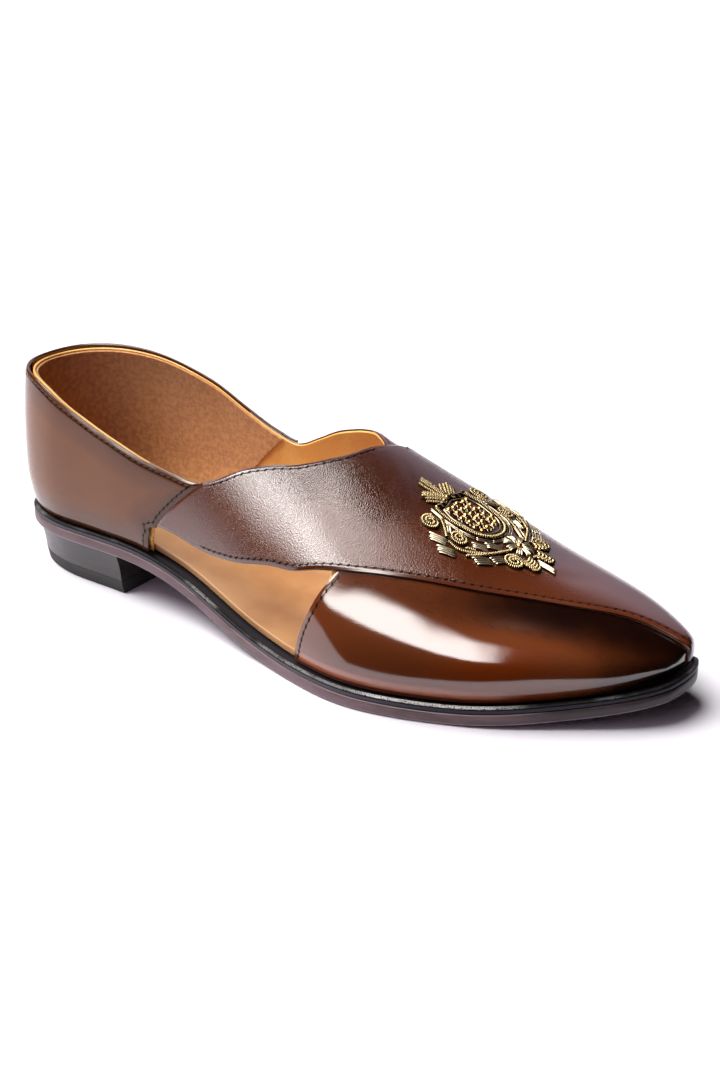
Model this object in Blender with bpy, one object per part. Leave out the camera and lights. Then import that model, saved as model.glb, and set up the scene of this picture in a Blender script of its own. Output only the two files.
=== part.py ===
"""Right shoe of a pair of embroidered criss-cross slip-ons, as separate solids.

Frame: +X runs from heel to toe, +Y to the medial (inner) side, +Z up. The sole stands on Z = 0, with
the origin under the middle of the shoe. The tables and functions below count X from the back of the
last and Y from its centre line, in millimetres; a mesh's points move to the frame, in metres, last.

Every curved piece is cut from one form, the last: a station u runs from the heel (0) to the toe (1),
and an angle runs round the section, from the lateral feather edge (-90) through the lateral bulge (0)
and the ridge (90) to the medial bulge (180) and the medial feather edge (270). `grow` is the distance
outside the last, so that linings, panels and overlays are shells between two sizes of the same form.
"""

import bmesh
import bpy
import numpy as np

MM = 0.001

# Driving sizes
LAST_LENGTH = 283.5
FEATHER_TUCK = 2.5
TOE_TUCK = 1.2
TOE_START = 0.8
HEEL_HEIGHT = 17.0
HEEL_BREAST = 62.0
TREAD_START = 160.0
TREAD_END = 215.0
TOE_SPRING = 8.5
GAP = 0.3
MIDDLE = np.array([142.65, -6.71, 0.0])

OUTSOLE_THICKNESS = 4.4
WELT_THICKNESS = 2.4
INSOLE_THICKNESS = 2.5
TOP_LIFT_THICKNESS = 5.0
SOLE_EXTENSION = 2.2
SOLE_TOE_REACH = 2.6
SOLE_CHAMFER = 0.8
HEEL_SEAT_EXTENSION = 0.8
TOP_LIFT_EXTENSION = -0.6
TOP_LIFT_TAPER = 0.6
INSOLE_CLEARANCE = 0.4
WELT_BASE = OUTSOLE_THICKNESS + GAP
UPPER_BASE = WELT_BASE + WELT_THICKNESS + GAP

UPPER_WALL = 1.4
OVERLAY_INSIDE = 1.8
OVERLAY_OUTSIDE = 3.0
MOTIF_INSIDE = 3.4
MOTIF_OUTSIDE = 5.2

# The last: half widths at the bulge, heights of the ridge and of the bulge above the feather edge,
# the sideways place of the section's axis, how far the ridge leans medially, and how square the
# section's shoulders are. One value for each tenth of the station.
SECTIONS = {
    "lateral": (0, 20, 30.5, 33, 36, 46.5, 55.7, 46.2, 30.3, 15.6, 0),
    "medial": (0, 20, 30.5, 32, 29.5, 31.5, 39.5, 40, 26, 12, 0),
    "axis": (0, 0, 0, 0, 0, 0, 0, 0.5, 3, 5.5, 7.5),
    "ridge": (86, 88, 90, 88, 80, 68.8, 48.6, 31.5, 20.9, 10.8, 4),
    "bulge": (20, 18, 15, 14, 14, 13, 12, 11, 9, 6, 3.2),
    "lean": (0, 0, 0, 0, 2, 4, 4, 3, 1, 0, 0),
    "shoulder": (0, 0, 0, 0, 0, 0.05, 0.12, 0.09, 0.15, 0.07, 0),
}
TENTHS = np.linspace(0, 1, 11)

# Height of the collar on each side, as the angle round the section above that side's bulge.
# The last row is the throat, where the two straps cross.
TOP_LINE = {
    "x": (0, 20, 40, 60, 80, 95, 107, 117, 127, 137, 146, 152, 157, 160.5),
    "lateral": (33, 31, 26, 21.5, 19.3, 21, 24, 31, 41, 50, 58, 67, 79, 97),
    "medial": (33, 33, 31.5, 27.5, 22, 20, 21, 29, 39, 49, 60, 70, 77, 83),
}
THROAT_X = 160.5
THROAT_ANGLE = 97.0

# Lower edge of the over panel: under the lateral strap, over the vamp and along the ridge to the toe.
PANEL_EDGE = {
    "x": (80, 95, 110, 130, 150, 160, 171, 185, 202, 218, 233, 251, 268, 277, 283.5),
    "angle": (0, 2, 4, 10.5, 20, 24, 31.5, 40, 49.5, 58, 67, 76, 87, 89.9, 90),
}
# Rear edge of the over panel on the medial side, from the throat down to the feather edge.
PANEL_REAR = {
    "angle": (97, 113, 128, 143, 163, 180, 270),
    "x": (160.5, 162, 161.5, 159.5, 156, 153.5, 150),
}
PANEL_REAR_REACH = 200.0
PANEL_BUTT = 0.5
# Front edge of the heel counter, by the angle above its side's bulge.
COUNTER_FRONT = {
    "angle": (-90, -30, 0, 12, 25),
    "x": (80, 83, 87, 97.5, 109.5),
}
# Rear edge of the lateral front panel, by height, and lower edge of the medial strap, by station.
SIDE_FRONT = {
    "z": (0, 16, 24, 30, 36, 43.5, 46),
    "x": (157, 165, 168, 170.5, 173, 177, 178.5),
}
MEDIAL_STRAP = {
    "x": (80, 95, 110, 130, 150, 158),
    "angle": (0, 2, 4, 10, 16, 18),
}
MEDIAL_FRONT_X = (151.0, 156.5)
STRAP_END = 90.0

# The embroidered crest, in its own sizes: half width along its length, measured over the skin from an
# axis that lies beside the line whose angles are the spine's.
MOTIF_START = 177.5
MOTIF_SPINE = (93.0, 98.0)
MOTIF_OFFSET = -3.2
MOTIF = {
    "along": (0, 4, 7, 10, 12.5, 18, 25, 30, 36, 42, 47, 51, 56),
    "half_width": (1.5, 4, 9.5, 12.5, 20, 24, 26.5, 25, 22, 15.5, 10.5, 6, 1.5),
}
MOTIF_ROWS = 20
MOTIF_COLUMNS = 15


# ---------------------------------------------------------------- the form


def curve(at, knots, values):
    """Smooth curve through a table's points, read at `at`."""
    knots = np.asarray(knots, float)
    values = np.asarray(values, float)
    slopes = np.gradient(values, knots)
    at = np.clip(at, knots[0], knots[-1])
    row = np.clip(np.searchsorted(knots, at, side="right") - 1, 0, len(knots) - 2)
    step = knots[row + 1] - knots[row]
    t = (at - knots[row]) / step
    start = values[row] * (2 * t**3 - 3 * t**2 + 1) + slopes[row] * step * (t**3 - 2 * t**2 + t)
    finish = values[row + 1] * (3 * t**2 - 2 * t**3) + slopes[row + 1] * step * (t**3 - t**2)
    return start + finish


def section(name, u):
    return curve(u, TENTHS, SECTIONS[name])


def station(x):
    return np.arccos(np.clip(1 - 2 * np.asarray(x, float) / LAST_LENGTH, -1, 1)) / np.pi


def along(u, grow=0.0):
    return -grow + (LAST_LENGTH + 2 * grow) * (1 - np.cos(np.pi * u)) / 2


def ground(x):
    """Height of the sole's lower face: toe spring, flat tread, arch and heel seat."""
    toe = np.clip((x - TREAD_END) / (LAST_LENGTH + SOLE_EXTENSION - TREAD_END), 0, None)
    arch = np.clip((TREAD_START - x) / (TREAD_START - HEEL_BREAST), 0, 1)
    return TOE_SPRING * toe**2 + HEEL_HEIGHT * arch**2 * (3 - 2 * arch)


def half_width(u, side, grow):
    """Half width on one side (-1 lateral, +1 medial), growing less where the ends close."""
    width = np.where(side < 0, section("lateral", u), section("medial", u))
    return width + grow * np.minimum(1, 6 * np.sin(np.pi * u))


def plan_normal(u, side, grow):
    step = 0.002
    before = np.clip(u - step, 0, 1)
    after = np.clip(u + step, 0, 1)
    dx = along(after, grow) - along(before, grow)
    dy = section("axis", after) - section("axis", before)
    dy = dy + side * (half_width(after, side, grow) - half_width(before, side, grow))
    length = np.hypot(dx, dy) + 1e-12
    return -side * dy / length, side * dx / length


def plan_edge(u, side, grow):
    """Outline of the last seen from above, grown by `grow`."""
    return along(u, grow), section("axis", u) + side * half_width(u, side, grow)


def toeward(u):
    """Share of the way round the toe, from where its curve starts to its tip."""
    share = np.clip((u - TOE_START) / (1 - TOE_START), 0, 1)
    return share**2 * (3 - 2 * share)


def form(u, angle, grow):
    """Point of the last, grown by `grow`, at a station and an angle round the section."""
    u, angle = np.broadcast_arrays(np.asarray(u, float), np.asarray(angle, float))
    arc = np.radians(np.clip(angle, 0, 180))
    cos, sin = np.cos(arc), np.sin(arc)
    side = np.where(angle < 90, -1.0, 1.0)
    lateral = half_width(u, -1.0, grow)
    medial = half_width(u, 1.0, grow)
    width = lateral * (1 + cos) / 2 + medial * (1 - cos) / 2
    shoulder = section("shoulder", u)
    bulge = section("bulge", u)
    ridge = section("ridge", u) + grow
    y = section("axis", u) - cos * (1 + shoulder * sin**2) * width + section("lean", u) * sin**2
    skirt = (np.clip(-angle, 0, 90) + np.clip(angle - 180, 0, 90)) / 90
    above = bulge + (ridge - bulge) * sin * (1 + shoulder * cos**2 / 2)
    z = np.where(skirt > 0, bulge * (1 - skirt), above)
    nx, ny = plan_normal(u, side, grow)
    tuck = FEATHER_TUCK + (TOE_TUCK - FEATHER_TUCK) * toeward(u)
    tuck = tuck * (1 - np.cos(skirt * np.pi / 2))
    x = along(u, grow) - nx * tuck
    return np.stack([x, y - ny * tuck, z + ground(x) + UPPER_BASE], -1)


def centre_angle(x):
    """Angle of the line that runs from the throat to the toe's tip."""
    part = np.clip((x - THROAT_X) / (LAST_LENGTH - THROAT_X), 0, 1)
    return THROAT_ANGLE + (90 - THROAT_ANGLE) * part


def top_angle(x, side):
    """Angle of the collar on one side; in front of the throat, that of the centre line."""
    if side < 0:
        angle = curve(x, TOP_LINE["x"], TOP_LINE["lateral"])
    else:
        angle = 180 - curve(x, TOP_LINE["x"], TOP_LINE["medial"])
    return np.where(x < THROAT_X, angle, centre_angle(x))


# ---------------------------------------------------------------- meshes


def material(name, colour, roughness, metallic=0.0):
    made = bpy.data.materials.new(name)
    made.use_nodes = True
    shader = made.node_tree.nodes["Principled BSDF"]
    shader.inputs["Base Color"].default_value = (*colour, 1)
    shader.inputs["Roughness"].default_value = roughness
    shader.inputs["Metallic"].default_value = metallic
    made.diffuse_color = (*colour, 1)
    return made


def add_object(name, points, faces, finish=None):
    mesh = bpy.data.meshes.new(name)
    mesh.from_pydata([tuple(p) for p in MM * (np.asarray(points, float) - MIDDLE)], [], faces)
    mesh.validate()
    build = bmesh.new()
    build.from_mesh(mesh)
    bmesh.ops.triangulate(build, faces=build.faces[:])
    bmesh.ops.recalc_face_normals(build, faces=build.faces[:])
    build.to_mesh(mesh)
    build.free()
    mesh.shade_smooth()
    mesh.set_sharp_from_angle(angle=np.radians(40))
    made = bpy.data.objects.new(name, mesh)
    bpy.context.scene.collection.objects.link(made)
    if finish:
        mesh.materials.append(finish)
    return made


def shell(name, patches, inside, outside, finish):
    """Closed wall between two sizes of the form. Each patch is a grid of stations and angles."""
    outer, inner, quads = [], [], []
    for stations, angles in patches:
        rows, columns = stations.shape
        first = sum(len(block) for block in outer)
        outer.append(form(stations, angles, outside).reshape(-1, 3))
        inner.append(form(stations, angles, inside).reshape(-1, 3))
        for i in range(rows - 1):
            for j in range(columns - 1):
                a = first + i * columns + j
                b = a + columns
                quads.append((a, b, b + 1, a + 1))
    outer = np.concatenate(outer)
    inner = np.concatenate(inner)
    _, keep, weld = np.unique(np.round(outer, 3), axis=0, return_index=True, return_inverse=True)
    weld = weld.reshape(-1)
    outer = outer[keep]
    inner = inner[keep]
    count = len(outer)
    faces = []
    edges = {}
    for quad in quads:
        ring = []
        for corner in weld[list(quad)]:
            if int(corner) not in ring:
                ring.append(int(corner))
        if len(ring) < 3:
            continue
        faces.append(tuple(ring))
        faces.append(tuple(corner + count for corner in reversed(ring)))
        for a, b in zip(ring, ring[1:] + ring[:1]):
            edges[(a, b)] = edges.get((a, b), 0) + 1
    for a, b in edges:
        if (b, a) not in edges:
            faces.append((b, a, a + count, b + count))
    return add_object(name, np.concatenate([outer, inner]), faces, finish)


def plate(name, stations, levels, finish, toe_reach=0.0):
    """Solid under or inside the last. Each level is a height above the ground curve, or above the
    floor where `flat` is set, with the outline's growth there. Round the toe it grows by `toe_reach`
    more."""
    rings = []
    for height, grow, flat in levels:
        sides = []
        for side in (-1.0, 1.0):
            x, y = plan_edge(stations, side, grow + toe_reach * toeward(stations))
            rise = np.zeros_like(x) if flat else ground(x)
            sides.append(np.stack([x, y, rise + height], -1))
        rings.append(np.concatenate([sides[0], sides[1][::-1]]))
    size = len(rings[0])
    last = len(stations) - 1
    faces = []
    for i in range(last):
        low = (i, size - 1 - i, size - 2 - i, i + 1)
        top = tuple(corner + size * (len(rings) - 1) for corner in reversed(low))
        faces += [low, top]
    for level in range(len(rings) - 1):
        for i in range(size):
            a = level * size + i
            b = level * size + (i + 1) % size
            faces.append((a, b, b + size, a + size))
    points = np.concatenate(rings)
    _, keep, weld = np.unique(np.round(points, 3), axis=0, return_index=True, return_inverse=True)
    weld = weld.reshape(-1)
    clean = []
    for face in faces:
        ring = []
        for corner in weld[list(face)]:
            if int(corner) not in ring:
                ring.append(int(corner))
        if len(ring) > 2:
            clean.append(tuple(ring))
    return add_object(name, points[keep], clean, finish)


def side_cutter(name, outline, side):
    """Prism across one half of the shoe, with its outline given in X and Z."""
    outline = np.asarray(outline, float)
    count = len(outline)
    near = np.insert(outline, 1, side * 3.0, axis=1)
    far = np.insert(outline, 1, side * 90.0, axis=1)
    faces = [tuple(range(count)), tuple(reversed(range(count, 2 * count)))]
    for i in range(count):
        j = (i + 1) % count
        faces.append((j, i, i + count, j + count))
    made = add_object(name, np.concatenate([near, far]), faces)
    made.hide_render = True
    made.display_type = "WIRE"
    return made


def cut(target, cutter):
    boolean = target.modifiers.new(cutter.name, "BOOLEAN")
    boolean.operation = "DIFFERENCE"
    boolean.solver = "EXACT"
    boolean.object = cutter


# ---------------------------------------------------------------- pieces

BEHIND = np.linspace(0, station(THROAT_X), 24)
AHEAD = np.linspace(station(THROAT_X), 1, 20)
STATIONS = np.concatenate([BEHIND, AHEAD[1:]])
SKIRT = np.array([-90, -60, -30])
SKIRT_SHARE = 0.2
ARC_ROWS = 12
SETTLE = 25


def half_section(x, side, rows):
    """Angles from the feather edge up to the collar, or to the centre line."""
    top = float(top_angle(x, side))
    if side < 0:
        return np.concatenate([SKIRT, np.linspace(0, top, rows)])
    return np.concatenate([np.linspace(top, 180, rows), 180 - SKIRT[::-1]])


def upper_patches():
    patches = []
    for side in (-1, 1):
        angles = np.array([half_section(along(u), side, ARC_ROWS) for u in STATIONS])
        patches.append((np.repeat(STATIONS[:, None], angles.shape[1], 1), angles))
    return patches


def counter_patches():
    climbs = np.linspace(0, 1, 16)
    patches = []
    for side in (-1, 1):
        grid = [[counter_point(part, climb, side) for climb in climbs] for part in np.linspace(0, 1, 13)]
        x, level = np.moveaxis(np.array(grid), -1, 0)
        if side < 0:
            patches.append((station(x), level))
        else:
            patches.append((station(x)[:, ::-1], 180 - level[:, ::-1]))
    return patches


def side_level(x, side, climb):
    """Angle above a side's bulge, at a share of the way from the feather edge to the collar."""
    top = float(top_angle(x, side))
    top = top if side < 0 else 180 - top
    if climb < SKIRT_SHARE:
        return -90 * (1 - climb / SKIRT_SHARE)
    return top * (climb - SKIRT_SHARE) / (1 - SKIRT_SHARE)


def counter_point(part, climb, side):
    front = HEEL_BREAST
    for _ in range(SETTLE):
        level = side_level(front, side, climb)
        front = float(curve(level, COUNTER_FRONT["angle"], COUNTER_FRONT["x"]))
    x = along(part * station(front))
    return x, side_level(x, side, climb)


def panel_patches():
    """Over panel: the lateral strap with the vamp, and the medial front down to the feather edge."""
    shares = np.linspace(0, 1, 11)
    starts = np.full(len(shares), COUNTER_FRONT["x"][-1])
    for _ in range(SETTLE):
        low = curve(starts, PANEL_EDGE["x"], PANEL_EDGE["angle"])
        level = low + (top_angle(starts, -1) - low) * shares
        starts = curve(level, COUNTER_FRONT["angle"], COUNTER_FRONT["x"]) + PANEL_BUTT
    rear = np.linspace(station(starts[-1]), station(THROAT_X), 10)
    base = along(np.concatenate([rear, AHEAD[1:]]))
    fade = np.clip((THROAT_X - base) / (THROAT_X - base[0]), 0, 1) ** 2
    x = base[:, None] + fade[:, None] * (starts - starts[-1])[None]
    low = curve(x, PANEL_EDGE["x"], PANEL_EDGE["angle"])
    strap = low + (top_angle(x, -1) - low) * shares
    patches = [(station(x), strap)]
    base = along(AHEAD)
    angles = np.array([half_section(x, 1, ARC_ROWS) for x in base])
    fade = np.clip((PANEL_REAR_REACH - base) / (PANEL_REAR_REACH - THROAT_X), 0, 1) ** 2
    shift = curve(angles[0], PANEL_REAR["angle"], PANEL_REAR["x"]) - THROAT_X
    x = base[:, None] + fade[:, None] * shift[None]
    patches.append((station(x), angles))
    return patches


def motif_patch():
    """Crest on the vamp: its rows are measured along the skin from the crest's own axis."""
    length = MOTIF["along"][-1]
    steps = np.linspace(0, length, MOTIF_ROWS)
    fine = np.linspace(20, 170, 151)
    stations, angles = [], []
    for step in steps:
        u = station(MOTIF_START + step)
        skin = form(u, fine, MOTIF_INSIDE)
        arc = np.concatenate([[0], np.cumsum(np.linalg.norm(np.diff(skin, axis=0), axis=1))])
        spine = MOTIF_SPINE[0] + (MOTIF_SPINE[1] - MOTIF_SPINE[0]) * step / length
        width = float(curve(step, MOTIF["along"], MOTIF["half_width"]))
        reach = np.interp(spine, fine, arc) + MOTIF_OFFSET + np.linspace(-width, width, MOTIF_COLUMNS)
        angles.append(np.interp(reach, arc, fine))
        stations.append(np.full(MOTIF_COLUMNS, u))
    return [(np.array(stations), np.array(angles))]


def side_outline(side):
    """Opening between the strap, the heel counter and the front panel, as seen from the side."""
    if side < 0:
        strap_edge = PANEL_EDGE
        heights = np.linspace(0, 40, 11)
        front_x = curve(heights, SIDE_FRONT["z"], SIDE_FRONT["x"])
    else:
        strap_edge = MEDIAL_STRAP
        heights = np.linspace(0, 30, 4)
        front_x = np.linspace(*MEDIAL_FRONT_X, 4)
    strap_x = np.linspace(front_x[-1], STRAP_END, 14)
    strap = inner_profile(strap_x, curve(strap_x, strap_edge["x"], strap_edge["angle"]), side)
    levels = np.array([-10, -30, -60, -90])
    back = inner_profile(curve(levels, COUNTER_FRONT["angle"], COUNTER_FRONT["x"]), levels, side)
    floor = np.array([[back[-1, 0], 0.0]])
    return np.concatenate([np.stack([front_x, heights], -1), strap, back, floor])


def inner_profile(x, level, side):
    """X and Z of points of the last, at an angle above one side's bulge."""
    angle = level if side < 0 else 180 - level
    return form(station(x), angle, 0.0)[:, [0, 2]]


def build():
    black_leather = material("black_edge_leather", (0.02, 0.017, 0.018), 0.32)
    sole_leather = material("sole_leather", (0.055, 0.04, 0.045), 0.5)
    rubber = material("rubber", (0.02, 0.02, 0.02), 0.8)
    tan_leather = material("tan_leather", (0.55, 0.3, 0.13), 0.5)
    glossy_leather = material("glossy_brown_leather", (0.16, 0.055, 0.02), 0.18)
    grained_leather = material("grained_brown_leather", (0.11, 0.04, 0.022), 0.42)
    thread = material("gold_thread", (0.45, 0.33, 0.16), 0.4, 1.0)

    plate(
        "outsole",
        STATIONS,
        [
            (0.0, SOLE_EXTENSION - SOLE_CHAMFER, False),
            (SOLE_CHAMFER, SOLE_EXTENSION, False),
            (OUTSOLE_THICKNESS, SOLE_EXTENSION, False),
        ],
        sole_leather,
        SOLE_TOE_REACH,
    )
    welt_top = WELT_BASE + WELT_THICKNESS
    plate(
        "welt",
        STATIONS,
        [(WELT_BASE, SOLE_EXTENSION, False), (welt_top, SOLE_EXTENSION, False)],
        black_leather,
        SOLE_TOE_REACH,
    )
    insole_grow = -FEATHER_TUCK - INSOLE_CLEARANCE
    insole_base = UPPER_BASE + GAP
    plate(
        "insole",
        STATIONS,
        [(insole_base, insole_grow, False), (insole_base + INSOLE_THICKNESS, insole_grow, False)],
        tan_leather,
    )
    seat = np.linspace(0, station(HEEL_BREAST), 14)
    lift_top = TOP_LIFT_THICKNESS
    block_top = HEEL_HEIGHT - GAP
    plate(
        "heel_block",
        seat,
        [(lift_top + GAP, TOP_LIFT_EXTENSION, True), (block_top, HEEL_SEAT_EXTENSION, True)],
        black_leather,
    )
    plate(
        "heel_top_lift",
        seat,
        [(0.0, TOP_LIFT_EXTENSION - TOP_LIFT_TAPER, True), (lift_top, TOP_LIFT_EXTENSION, True)],
        rubber,
    )
    upper = shell("upper", upper_patches(), 0.0, UPPER_WALL, glossy_leather)
    for side, name in ((-1, "lateral_opening_cutter"), (1, "medial_opening_cutter")):
        cut(upper, side_cutter(name, side_outline(side), side))
    shell("over_panel", panel_patches(), OVERLAY_INSIDE, OVERLAY_OUTSIDE, grained_leather)
    shell("heel_counter", counter_patches(), OVERLAY_INSIDE, OVERLAY_OUTSIDE, glossy_leather)
    shell("embroidered_motif", motif_patch(), MOTIF_INSIDE, MOTIF_OUTSIDE, thread)


for old in list(bpy.data.objects):
    bpy.data.objects.remove(old)
build()
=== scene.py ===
"""Looks of the right shoe of a pair of embroidered criss-cross slip-ons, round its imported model.

Frame: +X from heel to toe, +Y to the medial (inner) side, +Z up, in metres. The tables and
functions count X from the back of the last and Y from its centre line, in millimetres, and are
those of the model's own form: a station u runs from heel (0) to toe (1), an angle runs round the
section from the lateral feather edge (-90) through the lateral bulge (0), the ridge (90) and the
medial bulge (180) to the medial feather edge (270), and `grow` is the distance outside the last.
A mesh's points move to the frame last.
"""

import bmesh
import bpy
import numpy as np
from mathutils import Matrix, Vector
from mathutils.bvhtree import BVHTree
from mathutils.kdtree import KDTree


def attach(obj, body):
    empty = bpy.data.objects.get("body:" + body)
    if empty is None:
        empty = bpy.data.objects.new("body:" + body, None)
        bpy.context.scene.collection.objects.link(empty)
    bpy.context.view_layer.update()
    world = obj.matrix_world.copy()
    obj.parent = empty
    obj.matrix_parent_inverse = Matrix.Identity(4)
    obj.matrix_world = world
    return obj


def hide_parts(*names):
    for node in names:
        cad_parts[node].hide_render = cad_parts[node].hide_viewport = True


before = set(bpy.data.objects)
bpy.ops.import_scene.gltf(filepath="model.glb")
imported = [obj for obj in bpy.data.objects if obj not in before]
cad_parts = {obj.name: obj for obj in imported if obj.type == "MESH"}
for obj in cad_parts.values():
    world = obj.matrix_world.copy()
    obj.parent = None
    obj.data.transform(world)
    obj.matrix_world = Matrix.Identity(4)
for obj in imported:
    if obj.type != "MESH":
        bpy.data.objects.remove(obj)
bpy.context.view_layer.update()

MM = 0.001
join = np.concatenate

# ---- the model's own sizes

LAST_LENGTH = 283.5
FEATHER_TUCK = 2.5
TOE_TUCK = 1.2
TOE_START = 0.8
HEEL_HEIGHT = 17.0
HEEL_BREAST = 62.0
TREAD_START = 160.0
TREAD_END = 215.0
TOE_SPRING = 8.5
GAP = 0.3
MIDDLE = np.array([142.65, -6.71, 0.0])

OUTSOLE_THICKNESS = 4.4
WELT_THICKNESS = 2.4
INSOLE_THICKNESS = 2.5
TOP_LIFT_THICKNESS = 5.0
SOLE_EXTENSION = 2.2
SOLE_TOE_REACH = 2.6
HEEL_SEAT_EXTENSION = 0.8
TOP_LIFT_EXTENSION = -0.6
INSOLE_CLEARANCE = 0.4
WELT_BASE = OUTSOLE_THICKNESS + GAP
UPPER_BASE = WELT_BASE + WELT_THICKNESS + GAP
OVERLAY_INSIDE = 1.8
OVERLAY_OUTSIDE = 3.0

SECTIONS = {
    "lateral": (0, 20, 30.5, 33, 36, 46.5, 55.7, 46.2, 30.3, 15.6, 0),
    "medial": (0, 20, 30.5, 32, 29.5, 31.5, 39.5, 40, 26, 12, 0),
    "axis": (0, 0, 0, 0, 0, 0, 0, 0.5, 3, 5.5, 7.5),
    "ridge": (86, 88, 90, 88, 80, 68.8, 48.6, 31.5, 20.9, 10.8, 4),
    "bulge": (20, 18, 15, 14, 14, 13, 12, 11, 9, 6, 3.2),
    "lean": (0, 0, 0, 0, 2, 4, 4, 3, 1, 0, 0),
    "shoulder": (0, 0, 0, 0, 0, 0.05, 0.12, 0.09, 0.15, 0.07, 0),
}
TENTHS = np.linspace(0, 1, 11)

TOP_LINE_X = (0, 20, 40, 60, 80, 95, 107, 117, 127, 137, 146, 152, 157, 160.5)
TOP_LINE = {
    -1: (33, 31, 26, 21.5, 19.3, 21, 24, 31, 41, 50, 58, 67, 79, 97),
    1: (33, 33, 31.5, 27.5, 22, 20, 21, 29, 39, 49, 60, 70, 77, 83),
}
THROAT_X = 160.5
THROAT_ANGLE = 97.0
PANEL_EDGE = (
    (80, 95, 110, 130, 150, 160, 171, 185, 202, 218, 233, 251, 268, 277, 283.5),
    (0, 2, 4, 10.5, 20, 24, 31.5, 40, 49.5, 58, 67, 76, 87, 89.9, 90),
)
PANEL_REAR = ((97, 113, 128, 143, 163, 180, 270), (160.5, 162, 161.5, 159.5, 156, 153.5, 150))
PANEL_REAR_REACH = 200.0
PANEL_BUTT = 0.5
COUNTER_FRONT = ((-90, -30, 0, 12, 25), (80, 83, 87, 97.5, 109.5))
SIDE_FRONT = ((0, 16, 24, 30, 36, 43.5, 46), (157, 165, 168, 170.5, 173, 177, 178.5))
MEDIAL_STRAP = ((80, 95, 110, 130, 150, 158), (0, 2, 4, 10, 16, 18))
MEDIAL_FRONT_X = (151.0, 156.5)
STRAP_END = 90.0
MOTIF_START = 177.5
MOTIF_SPINE = (93.0, 98.0)
MOTIF_OFFSET = -3.2

# ---- what this script adds

LINING = (0.0, 0.7)
PANEL = (0.75, 1.75)
COUNTER_LINING = (-0.85, -0.08)
COUNTER_LINING_TOP = 0.985
COUNTER_LINING_SETBACK = 6.0
UNDERLAP = 6.0
STRAP_START_X = COUNTER_FRONT[1][0] + 2
STRAP_TUCK_X = 170.0
BACKING_END_X = 183.0
BACKING_TOP = 92.0
BACKING_INSET = 0.25
# how far out from the middle the cutter of a side opening starts and ends
CUTTER_REACH = (3.0, 90.0)
OVERLAY = (OVERLAY_INSIDE, OVERLAY_OUTSIDE)

EDGE_STEPS = np.array([0, 0.25, 0.55, 0.95, 1.4, 1.9, 2.3, 2.65, 3.0, 3.35, 3.7, 4.2, 5.0, 6.2])
COLUMN_STEP = 1.15
PLATE_SHARP = 50
# share of the heel counter's rows that lie below the bulge
SKIRT_SHARE = 0.2
# columns stand closer from here to the throat, and from the blunt toe to its tip
THROAT_START = 152.0
BLUNT_TOE = 268.0
# how far forward the front panel's columns follow its slanted rear edge
FRONT_EDGE_REACH = 220.0
# rounds after which a panel's slanted end, found from its own angles, no longer moves
SETTLING = 25
# samples of a line up a panel, up its slanted rear edge and up the strap's end
LINE_SAMPLES = 181
EDGE_SAMPLES = 81
STRAP_SAMPLES = 41
RIM_RINGS = 5
RIM_BULGE = 0.28
# below 1, a rim's section is squarer than half a circle
RIM_SQUARE = 0.75
RIM_DROP = 0.42
RIM_ROUND = 0.62
CHANNEL_DEPTH = 0.1
CHANNEL_WIDTH = 0.45
STITCH_INSET = 1.7
STITCH_PITCH = 3.1
STITCH_LENGTH = 2.5
STITCH_RADIUS = 0.15
STITCH_RISE = 0.16
STITCH_SINK = 0.1
HOLE_SIDES = 12
HOLE_SIZE = (0.8, 0.36)
HOLE_SLANT = np.radians(35)
HOLE_HEIGHT = 0.12
# a place inside the shoe, from where every stitch looks outward
SHOE_INSIDE = np.array([150.0, 0, 25.0])


# ---- the form


def curve(at, knots, values):
    """Smooth curve through a table's points, read at `at`."""
    knots = np.asarray(knots, float)
    values = np.asarray(values, float)
    slopes = np.gradient(values, knots)
    at = np.clip(at, knots[0], knots[-1])
    row = np.clip(np.searchsorted(knots, at, side="right") - 1, 0, len(knots) - 2)
    step = knots[row + 1] - knots[row]
    t = (at - knots[row]) / step
    start = values[row] * (2 * t**3 - 3 * t**2 + 1) + slopes[row] * step * (t**3 - 2 * t**2 + t)
    finish = values[row + 1] * (3 * t**2 - 2 * t**3) + slopes[row + 1] * step * (t**3 - t**2)
    return start + finish


def section(name, u):
    return curve(u, TENTHS, SECTIONS[name])


def station(x):
    return np.arccos(np.clip(1 - 2 * np.asarray(x, float) / LAST_LENGTH, -1, 1)) / np.pi


def along(u, grow=0.0):
    return -grow + (LAST_LENGTH + 2 * grow) * (1 - np.cos(np.pi * u)) / 2


def ground(x):
    """Height of the sole's lower face: toe spring, flat tread, arch and heel seat."""
    toe = np.clip((x - TREAD_END) / (LAST_LENGTH + SOLE_EXTENSION - TREAD_END), 0, None)
    arch = np.clip((TREAD_START - x) / (TREAD_START - HEEL_BREAST), 0, 1)
    return TOE_SPRING * toe**2 + HEEL_HEIGHT * arch**2 * (3 - 2 * arch)


def half_width(u, side, grow):
    """Half width on one side (-1 lateral, +1 medial), growing less where the ends close."""
    width = np.where(side < 0, section("lateral", u), section("medial", u))
    return width + grow * np.minimum(1, 6 * np.sin(np.pi * u))


def plan_normal(u, side, grow):
    step = 0.002
    before = np.clip(u - step, 0, 1)
    after = np.clip(u + step, 0, 1)
    dx = along(after, grow) - along(before, grow)
    dy = section("axis", after) - section("axis", before)
    dy = dy + side * (half_width(after, side, grow) - half_width(before, side, grow))
    length = np.hypot(dx, dy) + 1e-12
    return -side * dy / length, side * dx / length


def plan_edge(u, side, grow):
    """Outline of the last seen from above, grown by `grow`."""
    return along(u, grow), section("axis", u) + side * half_width(u, side, grow)


def smooth(value, low, high):
    """Share of the way from low to high, eased at both ends."""
    share = np.clip((value - low) / (high - low), 0, 1)
    return share**2 * (3 - 2 * share)


def toeward(u):
    """Share of the way round the toe, from where its curve starts to its tip."""
    return smooth(u, TOE_START, 1)


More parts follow.
